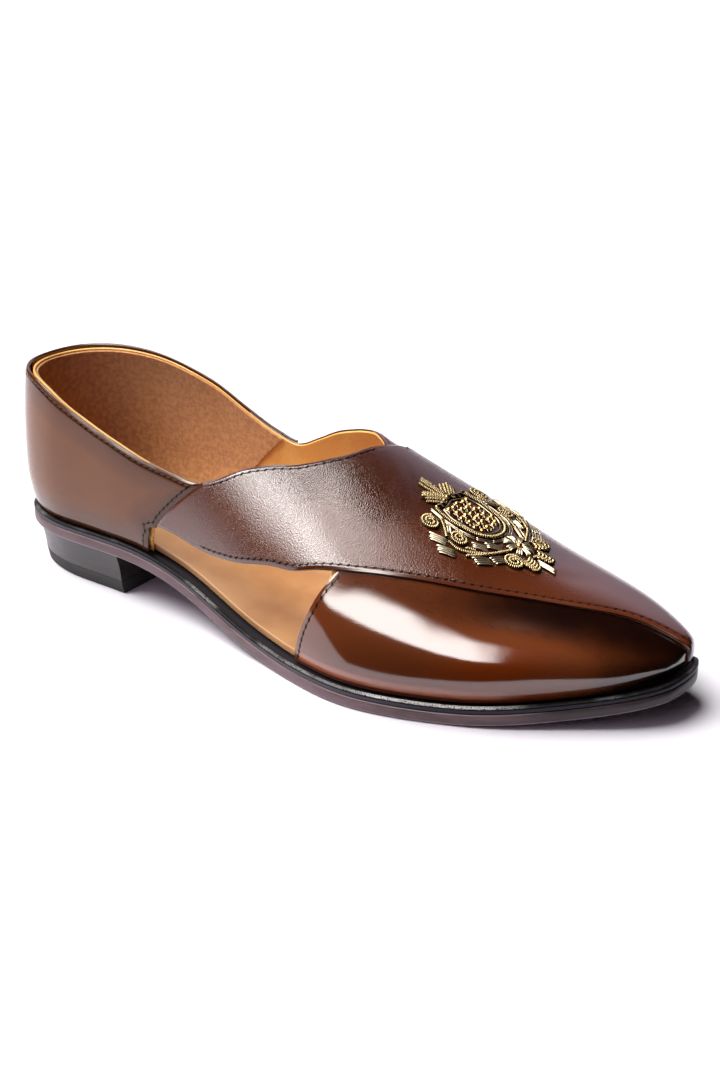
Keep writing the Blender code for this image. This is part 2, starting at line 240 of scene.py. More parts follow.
def form(u, angle, grow):
    """Point of the last, grown by `grow`, at a station and an angle round the section."""
    u, angle = np.broadcast_arrays(np.asarray(u, float), np.asarray(angle, float))
    arc = np.radians(np.clip(angle, 0, 180))
    cos, sin = np.cos(arc), np.sin(arc)
    side = np.where(angle < 90, -1.0, 1.0)
    lateral = half_width(u, -1.0, grow)
    medial = half_width(u, 1.0, grow)
    width = lateral * (1 + cos) / 2 + medial * (1 - cos) / 2
    shoulder = section("shoulder", u)
    bulge = section("bulge", u)
    ridge = section("ridge", u) + grow
    y = section("axis", u) - cos * (1 + shoulder * sin**2) * width + section("lean", u) * sin**2
    skirt = (np.clip(-angle, 0, 90) + np.clip(angle - 180, 0, 90)) / 90
    above = bulge + (ridge - bulge) * sin * (1 + shoulder * cos**2 / 2)
    z = np.where(skirt > 0, bulge * (1 - skirt), above)
    nx, ny = plan_normal(u, side, grow)
    ny = np.where((u <= 0) | (u >= 1), 0.0, ny)
    tuck = FEATHER_TUCK + (TOE_TUCK - FEATHER_TUCK) * toeward(u)
    tuck = tuck * (1 - np.cos(skirt * np.pi / 2))
    x = along(u, grow) - nx * tuck
    return np.stack([x, y - ny * tuck, z + ground(x) + UPPER_BASE], -1)


def centre_angle(x):
    """Angle of the line that runs from the throat to the toe's tip."""
    part = np.clip((x - THROAT_X) / (LAST_LENGTH - THROAT_X), 0, 1)
    return THROAT_ANGLE + (90 - THROAT_ANGLE) * part


def top_angle(x, side):
    """Angle of the collar on one side; in front of the throat, that of the centre line."""
    angle = curve(x, TOP_LINE_X, TOP_LINE[side])
    return np.where(x < THROAT_X, angle if side < 0 else 180 - angle, centre_angle(x))


def panel_edge(x):
    return curve(x, *PANEL_EDGE)


def counter_front(level):
    return curve(level, *COUNTER_FRONT)


def unit(vectors):
    return vectors / (np.linalg.norm(vectors, axis=-1, keepdims=True) + 1e-12)


def left_of(run):
    """Unit vector to the left of a run seen from above."""
    return np.array([-run[1], run[0]]) / np.linalg.norm(run)


def run_along(points):
    """Distance from the start of each line of points, at each of its points."""
    steps = np.linalg.norm(np.diff(points, axis=-2), axis=-1)
    return np.insert(np.cumsum(steps, axis=-1), 0, 0, axis=-1)


def at_side(level, side):
    """Angle round the section of a level counted up from one side's bulge."""
    return level if side < 0 else 180 - level


SOLE_STATIONS = [np.linspace(0, 0.12, 20), np.linspace(0.12, 0.88, 150)[1:]]
SOLE_STATIONS = join([*SOLE_STATIONS, np.linspace(0.88, 1, 26)[1:]])


# ---- meshes


def add_mesh(name, points, faces, finish, values=None, sharp=None):
    """Object of these points (mm, the last's axes) and faces, with a number for each point in each
    of `values`' attributes."""
    mesh = bpy.data.meshes.new(name)
    mesh.from_pydata((MM * (np.asarray(points, float) - MIDDLE)).tolist(), [], faces)
    for key, numbers in (values or {}).items():
        layer = mesh.attributes.new(key, "FLOAT", "POINT")
        layer.data.foreach_set("value", np.asarray(numbers, np.float32))
    mesh.validate()
    mesh.shade_smooth()
    if sharp:
        mesh.set_sharp_from_angle(angle=np.radians(sharp))
    made = bpy.data.objects.new(name, mesh)
    bpy.context.scene.collection.objects.link(made)
    if finish:
        mesh.materials.append(finish)
    return made


def face_outward(made):
    build = bmesh.new()
    build.from_mesh(made.data)
    bmesh.ops.recalc_face_normals(build, faces=build.faces[:])
    build.to_mesh(made.data)
    build.free()
    return made


def dress(made, slot, *nodes):
    """The piece rides on the shoe's one body and stands for these nodes, whose parts it hides;
    `slot` is not used.
    """
    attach(made, "root")
    if nodes:
        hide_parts(*nodes)
    return made


def places(width, middle):
    """Distances across a panel at each of its widths, close together at both edges."""
    reach = np.minimum(1, 0.4 * width / EDGE_STEPS[-1])[:, None]
    near = reach * EDGE_STEPS[None]
    share = np.linspace(0, 1, middle + 2)[1:-1][None]
    between = near[:, -1:] + (width[:, None] - 2 * near[:, -1:]) * share
    return join([near, between, width[:, None] - near[:, ::-1]], 1)


def panel_grid(base, fade, offset, low, top, rows):
    """Grid of stations and angles. A column starts from its place in `base` (mm) and is moved by
    the panel's own end line, `offset` of the share of the way up, as far as `fade` says. `rows` of
    them are evenly spaced, in real millimetres, between the fine steps at both edges."""
    share = np.linspace(0, 1, LINE_SAMPLES)[None]
    x = base[:, None] + fade[:, None] * offset(share)
    angle = low(x) + (top(x) - low(x)) * share
    arc = run_along(form(station(x), angle, 1.0))
    wanted = places(arc[:, -1], rows)
    shares = np.array([np.interp(place, run, share[0]) for place, run in zip(wanted, arc)])
    shares[:, -1] = 1
    x = base[:, None] + fade[:, None] * offset(shares)
    return station(x), low(x) + (top(x) - low(x)) * shares


def columns(start, end, fine_end=False):
    """Places along X, close together at the start and, if asked, at the end."""
    length = end - start
    if fine_end:
        count = int((length - 2 * EDGE_STEPS[-1]) / COLUMN_STEP)
        return start + places(np.array([length]), count)[0]
    middle = np.arange(EDGE_STEPS[-1] + COLUMN_STEP, length, COLUMN_STEP)
    return start + join([EDGE_STEPS, middle, [length]])


def places_toeward(start):
    """Places from a start to the toe's tip, closing up where the outline turns round the tip."""
    turn = along(np.linspace(station(BLUNT_TOE), 1, 40))
    return join([columns(start, BLUNT_TOE), turn[1:]])


def tube_faces(rows, sides):
    """Faces between rings of points that are numbered one ring after the other."""
    index = np.arange(rows * sides).reshape(rows, sides)
    after = np.roll(index, -1, axis=1)
    return np.stack([index[:-1], after[:-1], after[1:], index[1:]], -1).reshape(-1, 4).tolist()


def weld(points, faces):
    """The points left when those that fall together are merged, and the faces on them."""
    rounded = np.round(points, 3)
    _, keep, new = np.unique(rounded, axis=0, return_index=True, return_inverse=True)
    new = new.reshape(-1)
    rings = (tuple(dict.fromkeys(new[list(face)].tolist())) for face in faces)
    return keep, [ring for ring in rings if len(ring) > 2]


def shell(name, patches, inside, outside, finish, relief=None, bulge=RIM_BULGE, paint=None):
    """Closed wall between two sizes of the form, with rounded rims. Each patch is a grid of
    stations and angles. `relief` gives each outer point's rise from its distance to the rim and
    its place. `paint` gives its tone from that distance and its place along X and angle: 0 is the
    darkest leather, 1 the lightest, and above 1 the glossy leather's pale painted reflection of
    the floor."""
    grids, quads = [], []
    first = 0
    for stations, angles in patches:
        skin, under = (form(stations, angles, grow) for grow in (outside, inside))
        out = unit(np.cross(np.gradient(skin, axis=0), np.gradient(skin, axis=1)))
        turned = np.sign(np.sum(out * (skin - under), -1, keepdims=True))
        spots = np.stack([along(stations), angles], -1)
        grids.append(join([skin, under, out * turned, spots], -1).reshape(-1, 11))
        index = first + np.arange(stations.size).reshape(stations.shape)
        block = [index[:-1, :-1], index[1:, :-1], index[1:, 1:], index[:-1, 1:]]
        block = np.stack(block, -1).reshape(-1, 4)
        quads.append(block if np.median(turned) > 0 else block[:, ::-1])
        first += stations.size
    grids = join(grids)
    keep, rings = weld(grids[:, :3], join(quads))
    outer, inner, normals, spots = np.split(grids[keep], (3, 6, 9), axis=1)
    count = len(outer)
    seen = {side for ring in rings for side in zip(ring, ring[1:] + ring[:1])}
    following = {a: b for a, b in seen if (b, a) not in seen}
    rim = np.array(sorted(following))
    ahead = np.array([following[a] for a in rim])
    here = np.arange(len(rim))
    there = np.searchsorted(rim, ahead)
    back = np.zeros(len(rim), int)
    back[there] = rim
    tangent = unit(outer[ahead] - outer[back])
    outward = unit(np.cross(tangent, outer[rim] - inner[rim]))
    near_rim = KDTree(2 * len(rim))
    for i, (a, b) in enumerate(zip(rim, ahead)):
        near_rim.insert(outer[a], 2 * i)
        near_rim.insert((outer[a] + outer[b]) / 2, 2 * i + 1)
    near_rim.balance()
    edge = np.array([near_rim.find(point)[2] for point in outer])
    tone = np.full(count, 0.5) if paint is None else paint(edge, spots)
    if relief is not None:
        outer = outer + normals * relief(edge, outer)[:, None]
    parts = [(outer, edge, np.ones(count), tone), (inner, edge, np.zeros(count), tone)]
    lines = [(rim, ahead)]
    middle = (outer[rim] + inner[rim]) / 2
    half = (outer[rim] - inner[rim]) / 2
    full = np.ones(len(rim))
    for k in range(RIM_RINGS - 1):
        turn = np.pi * (k + 1) / RIM_RINGS
        level = np.sign(np.cos(turn)) * np.abs(np.cos(turn)) ** RIM_SQUARE
        ring = middle + half * level + outward * bulge * np.sin(turn) ** RIM_SQUARE
        parts.append((ring, -full, full * (level + 1) / 2, tone[rim]))
        start = 2 * count + k * len(rim)
        lines.append((start + here, start + there))
    lines.append((rim + count, ahead + count))
    faces = rings + [tuple(corner + count for corner in reversed(ring)) for ring in rings]
    for (a, b), (c, d) in zip(lines, lines[1:]):
        faces += np.stack([b, a, c, d], -1).tolist()
    points, *values = (join(part) for part in zip(*parts))
    return add_mesh(name, points, faces, finish, dict(zip(("edge", "layer", "tone"), values)))


def plate(name, levels, finish, base, reach, toe_reach=0.0, stations=SOLE_STATIONS, flat=False):
    """Solid under or inside the last. Each level is a height over `base` and a growth over `reach`;
    `base` is over the ground curve, or over the floor if `flat`. Round the toe it grows by
    `toe_reach` more."""
    rings = []
    for height, grow in levels:
        sides = []
        for side in (-1.0, 1.0):
            x, y = plan_edge(stations, side, reach + grow + toe_reach * toeward(stations))
            rise = np.zeros_like(x) if flat else ground(x)
            sides.append(np.stack([x, y, rise + base + height], -1))
        rings.append(join([sides[0], sides[1][::-1]]))
    heights = np.repeat([base + height for height, _ in levels], len(rings[0]))
    size = len(rings[0])
    faces = []
    for i in range(len(stations) - 1):
        low = (i, size - 1 - i, size - 2 - i, i + 1)
        faces += [low, tuple(corner + size * (len(rings) - 1) for corner in reversed(low))]
    faces += tube_faces(len(rings), size)
    points = join(rings)
    keep, faces = weld(points, faces)
    values = {"height": heights[keep]}
    return face_outward(add_mesh(name, points[keep], faces, finish, values, PLATE_SHARP))


# ---- materials


class Nodes:
    """A node tree, with short names for what is added to it."""

    def __init__(self, tree):
        self.tree = tree

    def add(self, kind, inputs=None, **settings):
        """Node with its settings, and inputs that are numbers, colours or other nodes' outputs."""
        made = self.tree.nodes.new(kind)
        for key, value in settings.items():
            setattr(made, key, value)
        for key, value in (inputs or {}).items():
            socket = made.inputs[key]
            if isinstance(value, bpy.types.NodeSocket):
                self.tree.links.new(value, socket)
            elif isinstance(value, tuple) and len(value) == 3 and len(socket.default_value) == 4:
                socket.default_value = (*value, 1)
            else:
                socket.default_value = value
        return made

    def math(self, operation, a, b=0.0, c=0.0):
        return self.add("ShaderNodeMath", {0: a, 1: b, 2: c}, operation=operation).outputs[0]

    def times(self, a, b):
        return self.math("MULTIPLY", a, b)

    def plus(self, a, b):
        return self.math("ADD", a, b)

    def between(self, value, low, high, first=0.0, last=1.0):
        """The value's share of the way from low to high, held at both ends."""
        inputs = {"Value": value, "From Min": low, "From Max": high}
        inputs |= {"To Min": first, "To Max": last}
        made = self.add("ShaderNodeMapRange", inputs, interpolation_type="SMOOTHSTEP")
        return made.outputs[0]


class Finish(Nodes):
    """A material, with millimetres as its coordinates."""

    def __init__(self, name, **uniform):
        self.material = bpy.data.materials.new(name)
        self.material.use_nodes = True
        super().__init__(self.material.node_tree)
        self.shader = self.tree.nodes["Principled BSDF"]
        for key, value in uniform.items():
            self.shader.inputs[key.replace("_", " ")].default_value = value
        place = self.add("ShaderNodeTexCoord").outputs["Object"]
        grown = self.add("ShaderNodeVectorMath", {0: place, "Scale": 1 / MM}, operation="SCALE")
        self.place = grown.outputs[0]

    def stretched(self, scale, turn=0):
        """Coordinates scaled, after a turn in degrees about the shoe's upright axis."""
        inputs = {"Vector": self.place, "Scale": scale, "Rotation": (0, 0, np.radians(turn))}
        return self.add("ShaderNodeMapping", inputs).outputs[0]

    def noise(self, scale, detail=3.0, roughness=0.55, place=None, distortion=0.0):
        inputs = {"Vector": place or self.place, "Scale": scale, "Detail": detail}
        inputs |= {"Roughness": roughness, "Distortion": distortion}
        return self.add("ShaderNodeTexNoise", inputs).outputs["Fac"]

    def cells(self, scale, place=None, smooth=None):
        """Distance to the nearest of scattered points; `smooth` rounds the ridges between them."""
        inputs = {"Vector": place or self.place, "Scale": scale}
        if smooth is None:
            return self.add("ShaderNodeTexVoronoi", inputs).outputs["Distance"]
        inputs["Smoothness"] = smooth
        made = self.add("ShaderNodeTexVoronoi", inputs, feature="SMOOTH_F1")
        return made.outputs["Distance"]

    def value(self, name):
        return self.add("ShaderNodeAttribute", attribute_name=name).outputs["Fac"]

    def axis(self, name):
        return self.add("ShaderNodeSeparateXYZ", {"Vector": self.place}).outputs[name]

    def spread(self, noise, low, high):
        """Number that follows a noise from low to high."""
        return self.between(noise, 0.3, 0.7, low, high)

    def mix(self, share, first, last):
        inputs = {0: share, 6: first, 7: last}
        return self.add("ShaderNodeMix", inputs, data_type="RGBA").outputs[2]

    def mottled(self, noise, first, last):
        return self.mix(self.between(noise, 0.35, 0.65), first, last)

    def set(self, **links):
        for key, value in links.items():
            self.tree.links.new(value, self.shader.inputs[key.replace("_", " ")])
        return self.material

    def bump(self, height, depth, strength=1.0, under=None):
        """Bump of a height between 0 and 1 that stands `depth` millimetres."""
        inputs = {"Height": height, "Distance": depth * MM, "Strength": strength}
        if under is not None:
            inputs["Normal"] = under
        return self.add("ShaderNodeBump", inputs).outputs[0]


def rim_colour(finish, skin, paint, raw, raw_top=0.3):
    """Skin colour on the faces, edge paint on the rim, and the raw layer along the rim's foot."""
    on_rim = finish.between(finish.value("edge"), -0.1, -0.9)
    low = finish.between(finish.value("layer"), raw_top + 0.08, raw_top - 0.05)
    rim = finish.mix(low, paint, raw)
    return finish.mix(on_rim, skin, rim), on_rim


def grained_leather():
    """Satin red-brown leather with a pebble grain, smoother forward and along its edges."""
    made = Finish(
        "grained_brown_leather",
        Coat_Weight=1.0,
        Coat_Roughness=0.17,
        Coat_IOR=1.85,
        Specular_IOR_Level=0.05,
    )
    along = made.axis("X")
    slanted = made.stretched((1.1, 0.85, 0.92), 40)
    pebble = made.cells(2.0, slanted, 0.2)
    fine = made.noise(2.9, 2, 0.5, slanted)
    height = made.plus(made.times(pebble, 0.8), made.times(fine, 0.9))
    smoother = made.between(made.value("edge"), 0.6, 1.3, 0.1, 1.0)
    smoother = made.times(smoother, made.between(along, 45.0, 95.0, 1.0, 0.3))
    height = made.times(height, smoother)
    broad = made.noise(0.035, 3, 0.5)
    tone = made.plus(made.value("tone"), made.between(broad, 0.35, 0.65, -0.12, 0.12))
    skin = made.mix(tone, (0.03, 0.005, 0.0012), (0.095, 0.019, 0.0035))
    skin = made.mix(made.between(pebble, 0.5, 0.95, 0.0, 0.4), skin, (0.06, 0.01, 0.0018))
    burnish = made.between(made.value("edge"), 1.35, 1.0, 0.0, 0.9)
    burnish = made.times(burnish, made.between(along, 20.0, 70.0))
    skin = made.mix(burnish, skin, (0.12, 0.024, 0.007))
    colour, on_rim = rim_colour(made, skin, (0.06, 0.012, 0.004), (0.3, 0.15, 0.075), 0.4)
    rough = made.plus(made.spread(fine, 0.33, 0.45), made.times(on_rim, 0.1))
    normal = made.bump(height, 0.095, 1.0)
    return made.set(Base_Color=colour, Roughness=rough, Normal=normal, Coat_Normal=normal)


def glossy_leather(name, dark, middle, light, edge_dark, ior=1.9):
    """Burnished leather under a high gloss, in the tones its panel is painted with, and above the
    lightest tone a pale painted reflection of the floor: fine streaks along the shoe, and slow
    waves that bend what it reflects."""
    made = Finish(name, Coat_Weight=1.0, Coat_Roughness=0.09, Coat_IOR=ior, Specular_IOR_Level=0.03)
    along_shoe = made.stretched((0.1, 1, 1), -12)
    streaks = made.noise(0.9, 4, 0.6, along_shoe)
    clouds = made.noise(0.05, 3, 0.5, distortion=0.5)
    tone = made.plus(made.value("tone"), made.spread(clouds, -0.03, 0.03))
    tone = made.math("SUBTRACT", tone, made.between(streaks, 0.5, 0.8, 0.0, 0.07))
    skin = made.mix(made.between(tone, 0.0, 0.5), dark, middle)
    skin = made.mix(made.between(tone, 0.5, 1.0), skin, light)
    # tones above 1 blend to a pale painted reflection of the floor
    skin = made.mix(made.between(tone, 1.0, 1.5), skin, (0.44, 0.13, 0.06))
    colour, _ = rim_colour(made, skin, edge_dark, (0.16, 0.07, 0.03), 0.2)
    waves = made.noise(0.045, 2, 0.45)
    fine = made.noise(2.4, 3, 0.65, along_shoe)
    specks = made.between(made.cells(0.55), 0.1, 0.04)
    grain = made.plus(fine, made.times(specks, 0.5))
    normal = made.bump(grain, 0.02, 0.8, made.bump(waves, 0.3, 0.5))
    rough = made.spread(streaks, 0.3, 0.42)
    return made.set(Base_Color=colour, Roughness=rough, Normal=normal, Coat_Normal=normal)


# a glossy skin's dark, middle and light tones, and its cut edge's
BROWN_TONES = (0.005, 0.0004, 0.0001), (0.15, 0.035, 0.0085), (0.17, 0.026, 0.001)
BROWN_TONES += ((0.07, 0.02, 0.006),)
TAN_TONES = (0.04, 0.008, 0.001), (0.12, 0.032, 0.003), (0.19, 0.056, 0.004), (0.06, 0.02, 0.007)


def tan_lining():
    made = Finish("tan_lining_leather", Coat_Weight=0.25, Coat_Roughness=0.3)
    cloud = made.noise(0.06, 3)
    pores = made.cells(1.7)
    skin = made.mottled(cloud, (0.84, 0.41, 0.09), (0.95, 0.53, 0.14))
    skin = made.mix(made.between(pores, 0.5, 0.9, 0.0, 0.3), skin, (0.5, 0.2, 0.04))
    normal = made.bump(made.plus(pores, made.noise(2.2, 3)), 0.03, 0.6)
    return made.set(Base_Color=skin, Roughness=made.spread(cloud, 0.42, 0.52), Normal=normal)


def suede():
    """Napped tan suede, with strokes where the nap lies the other way."""
    made = Finish("tan_suede", Sheen_Weight=0.2, Sheen_Roughness=0.5, Roughness=0.95)
    nap = made.noise(0.55, 5, 0.65)
    fibre = made.noise(4.0, 4, 0.7)
    skin = made.mottled(nap, (0.46, 0.19, 0.05), (0.66, 0.31, 0.095))
    skin = made.mix(made.between(fibre, 0.4, 0.7, 0.0, 0.35), skin, (0.74, 0.42, 0.17))
    height = made.plus(nap, made.times(fibre, 0.6))
    return made.set(Base_Color=skin, Normal=made.bump(height, 0.22, 0.9))


def raw_backing():
    made = Finish("raw_backing_leather", Roughness=0.8)
    fibre = made.noise(1.4, 4, 0.65)
    skin = made.mottled(fibre, (0.14, 0.06, 0.025), (0.24, 0.12, 0.055))
    return made.set(Base_Color=skin, Normal=made.bump(fibre, 0.08))


def insole_leather():
    made = Finish("insole_leather", Coat_Weight=0.2, Coat_Roughness=0.35)
    cloud = made.noise(0.04, 3)
    pores = made.cells(1.4)
    skin = made.mottled(cloud, (0.38, 0.18, 0.06), (0.48, 0.25, 0.095))
    normal = made.bump(pores, 0.03, 0.6)
    return made.set(Base_Color=skin, Roughness=made.spread(cloud, 0.45, 0.55), Normal=normal)


def thread_finish():
    made = Finish("dark_waxed_thread", Specular_IOR_Level=0.1)
    twist = made.noise(3.5, 2)
    skin = made.mix(twist, (0.03, 0.011, 0.006), (0.08, 0.03, 0.015))
    # needle holes: flat discs painted near black, a painted shade for the hole's depth
    skin = made.mix(made.value("hole"), skin, (0.0015, 0.0008, 0.0006))
    return made.set(Base_Color=skin, Roughness=made.spread(twist, 0.3, 0.5))


def sole_edge():
    """Purple-brown edge dressing with a thin light line round its lower arris, partly wear and
    partly a painted highlight.
    """
    coat = {"Coat_Weight": 0.15, "Coat_Roughness": 0.3}
    made = Finish("outsole_edge_leather", **coat, Specular_IOR_Level=0.4)
    cloud = made.noise(0.12, 4, 0.6, made.stretched((0.4, 0.4, 2.0)))
    fibre = made.noise(1.5, 4, 0.6, made.stretched((0.4, 0.4, 2.5)))
    skin = made.mottled(cloud, (0.088, 0.05, 0.055), (0.148, 0.09, 0.1))
    skin = made.mix(made.between(fibre, 0.45, 0.75, 0.0, 0.4), skin, (0.17, 0.1, 0.1))
    along = made.axis("X")
    skin = made.mix(made.between(along, 85.0, 120.0, 0.0, 0.8), skin, (0.014, 0.009, 0.012))
    height = made.value("height")
    low = made.times(made.between(height, 0.1, 0.25), made.between(height, 0.75, 0.5))
    # thin light line low on the edge: partly wear, partly a painted highlight on the arris
    wear_and_highlight = made.times(low, made.between(fibre, 0.3, 0.5, 0.5, 1.0))
    skin = made.mix(wear_and_highlight, skin, (0.34, 0.27, 0.3))
    rough = made.spread(cloud, 0.36, 0.5)
    return made.set(Base_Color=skin, Roughness=rough, Normal=made.bump(fibre, 0.05, 0.6))


def welt_finish():
    """Black waxed leather with a grainy silver line along the rim of its upper face, partly rubbed
    wear and partly a painted highlight.
    """
    made = Finish("black_waxed_welt", Specular_IOR_Level=0.08)
    grit = made.noise(2.4, 4, 0.7, made.stretched((0.7, 1.0, 1.0)))
    patch = made.noise(0.05, 2)
    height = made.value("height")
    rim = made.between(height, WELT_BASE + 1.75, WELT_BASE + 2.0)
    rim = made.times(rim, made.between(height, WELT_BASE + 2.55, WELT_BASE + 2.5))
    # grainy silver line on the rim: partly rubbed wear, partly a painted highlight
    wear_and_highlight = made.times(rim, made.between(grit, 0.4, 0.52))
    along = made.axis("X")
    front = made.times(made.between(along, 42, 60), made.between(along, 108, 90))
    wear_and_highlight = made.times(wear_and_highlight, made.between(front, 0, 1, made.between(patch, 0.45, 0.6, 0.02, 0.3), 1))
    side = made.between(height, WELT_BASE + 1.6, WELT_BASE + 1.2)
    face = made.mix(made.between(along, 85, 45), (0.04, 0.042, 0.052), (0.085, 0.078, 0.09))
    skin = made.mix(side, (0.0012, 0.001, 0.0012), face)
    skin = made.mix(wear_and_highlight, skin, (0.62, 0.61, 0.58))
    normal = made.bump(grit, 0.16, 0.8)
    return made.set(Base_Color=skin, Roughness=made.spread(grit, 0.25, 0.45), Normal=normal)


def heel_leather():
    """Stacked leather under black dressing: fine lines between the lifts."""
    made = Finish("stacked_heel_leather", Coat_Weight=0.4, Coat_Roughness=0.25)
    wave = made.math("FRACT", made.math("DIVIDE", made.axis("Z"), 3.2))
    line = made.times(made.between(wave, 0.0, 0.05), made.between(wave, 0.12, 0.06))
    fibre = made.noise(1.2, 4, 0.6, made.stretched((0.3, 0.3, 2.5)))
    skin = made.mix(made.between(fibre, 0.4, 0.7), (0.011, 0.008, 0.009), (0.024, 0.017, 0.018))
    skin = made.mix(line, skin, (0.004, 0.003, 0.003))
    grooves = made.bump(made.math("SUBTRACT", 1.0, line), 0.12)
    made.set(Base_Color=skin, Roughness=made.spread(fibre, 0.35, 0.5))
    return made.set(Normal=made.bump(fibre, 0.04, 0.6, grooves))


def rubber_finish():
    made = Finish("black_rubber", Roughness=0.75)
    grit = made.noise(1.8, 4, 0.65)
    made.set(Base_Color=made.mix(grit, (0.008, 0.008, 0.008), (0.022, 0.021, 0.02)))
    return made.set(Normal=made.bump(grit, 0.08))


def metal_thread(name, low, high, rough):
    """Antique metal thread: bright on top of each turn, with painted shade dark in its hollows and
    on its undersides.
    """
    made = Finish(name, Metallic=1.0)
    grit = made.noise(1.3, 3, 0.6)
    # painted shade: the dark colour where the ridge number is low, in the hollows and underneath
    lit_crown = made.between(made.value("ridge"), 0.4, 0.92)
    skin = made.mix(made.times(lit_crown, made.between(grit, 0.2, 0.55, 0.75, 1.0)), low, high)
    return made.set(Base_Color=skin, Roughness=made.spread(grit, rough - 0.04, rough + 0.05))


# ---- leather pieces


def soft_rim(edge):
    """A cut edge rolls over, and its row of stitches pulls a shallow channel."""
    shoulder = RIM_DROP * np.exp(-((edge / RIM_ROUND) ** 2))
    return -shoulder - CHANNEL_DEPTH * np.exp(-(((edge - STITCH_INSET) / CHANNEL_WIDTH) ** 2))


def trough(points, start, end, depth, width):
    """Soft crease between two places of the skin (mm, from above): a trough and a ridge beside."""
    start, end = np.array(start, float), np.array(end, float)
    run = end - start
    flat = points[:, :2] - start
    t = flat @ run / (run @ run)
    off = flat @ left_of(run) / width
    ends = np.clip(np.sin(np.pi * np.clip(t, 0, 1)), 0, 1)
    return depth * ends * (-np.exp(-(off**2)) + 0.6 * np.exp(-((off - 1.7) ** 2)))


OVER_PANEL_CREASES = (
    ((166, 4), (178, -14), 0.16, 1.8),
    ((170, 10), (180, -3), 0.12, 1.4),
    ((128, -34), (150, -22), 0.22, 5.0),
    ((186, -34), (214, -24), 0.14, 5.0),
    ((236, 2), (252, 16), 0.12, 4.0),
)
FRONT_PANEL_CREASES = (
    ((176, -52), (186, -40), 0.12, 4.0),
    ((205, -50), (240, -34), 0.16, 6.0),
    ((236, -36), (262, -18), 0.14, 5.0),
)
COUNTER_CREASES = (
    ((18, -24), (52, -33), 0.25, 7.0),
    ((20, 25), (56, 32), 0.25, 7.0),
)


def creased(creases, rim=1.0):
    """Relief of a panel: its soft rim and its creases."""

    def relief(edge, points):
        rise = soft_rim(edge) * rim
        for start, end, depth, width in creases:
            rise = rise + trough(points, start, end, depth, width)
        return rise

    return relief


def front_panel_tone(edge, spots):
    """Brown behind, amber ahead of it low on the side, near black at the toe and under the over
    panel's edge, and pale low on the side behind the toe: a painted reflection of the floor."""
    x, angle = spots.T
    climb = np.clip(angle, 0, None) / (panel_edge(x) + 1e-6)
    amber = smooth(x, 200, 240) * (1 - smooth(climb, 0.3, 0.9))
    top_dark = smooth(climb, 0.2, 0.9) * (0.42 + 0.5 * smooth(x, 200, 240))
    toe_dark = smooth(x, 236, 280)
    # painted reflection of the floor: pale low on the side, behind the toe and off the rim
    painted_floor_reflection = (1 - smooth(angle, -58, -22)) * (1 - smooth(x, 215, 262)) * smooth(edge, 0.6, 2.2)
    tone = 0.5 + 0.45 * amber + (0.9 - 0.45 * amber) * painted_floor_reflection
    return tone * (1 - top_dark) * (1 - 0.9 * toe_dark)


def over_panel_tone(_, spots):
    """Light along the lower edge in the middle of the panel, darker above and at the toe."""
    x, angle = spots.T
    low = 1 - smooth(angle - panel_edge(x), 6, 48)
    return 0.25 + 0.7 * low * (1 - 0.6 * smooth(x, 225, 270))


def burnished_tone(edge, _):
    """Light in the panel's middle, darker towards its edges."""
    return 0.25 + 0.55 * smooth(edge, 1.0, 13.0)


def strap_starts(shares):
    """Where the over panel meets the heel counter, for each share of the way up the strap."""
    starts = np.full(np.shape(shares), COUNTER_FRONT[1][-1], float)
    for _ in range(SETTLING):
        low = panel_edge(starts)
        level = low + (top_angle(starts, -1) - low) * shares
        starts = counter_front(level) + PANEL_BUTT
    return starts


def over_panel_patches():
    table = np.linspace(0, 1, STRAP_SAMPLES)
    starts = strap_starts(table)
    top_start = starts[-1]

    def strap_offset(share):
        return np.interp(share, table, starts) - top_start

    ahead = places_toeward(THROAT_X)
    throat = np.arange(THROAT_START + 0.4, THROAT_X - 0.2, 0.4)
    behind = join([columns(top_start, THROAT_START), throat])
    base = join([behind, ahead])
    fade = np.clip((THROAT_X - base) / (THROAT_X - base[0]), 0, 1) ** 2
    strap = panel_grid(base, fade, strap_offset, panel_edge, lambda x: top_angle(x, -1), rows=42)

    def rear_offset(share):
        angle = THROAT_ANGLE + (270 - THROAT_ANGLE) * share
        return curve(angle, *PANEL_REAR) - THROAT_X

    fade = np.clip((PANEL_REAR_REACH - ahead) / (PANEL_REAR_REACH - THROAT_X), 0, 1) ** 2
    front = panel_grid(ahead, fade, rear_offset, centre_angle, lambda x: 270 + 0 * x, rows=34)
    return [strap, front]


def side_front_offset(top):
    """Rear edge of the lateral front panel, from its first column's own heights."""
    shares = np.linspace(0, 1, EDGE_SAMPLES)
    x = np.full(EDGE_SAMPLES, STRAP_TUCK_X)
    for _ in range(SETTLING):
        height = form(station(x), -90 + (top(x) + 90) * shares, PANEL[0])[:, 2]
        x = curve(height, *SIDE_FRONT)
    return shares, x


def front_panel_patches():
    def top(x):
        return np.minimum(panel_edge(x) + UNDERLAP, centre_angle(x) - 0.01)

    shares, edge = side_front_offset(top)
    start = edge[-1]
    base = places_toeward(start)
    fade = np.clip((FRONT_EDGE_REACH - base) / (FRONT_EDGE_REACH - start), 0, 1) ** 2

    def offset(share):
        return np.interp(share, shares, edge) - start

    return [panel_grid(base, fade, offset, lambda x: -90 + 0 * x, top, rows=34)]


def strap_patches(end, low, top):
    """A panel from under the heel counter to `end`, both ends straight."""
    base = columns(STRAP_START_X, end, fine_end=True)
    return [panel_grid(base, 0 * base, np.zeros_like, low, top, rows=26)]


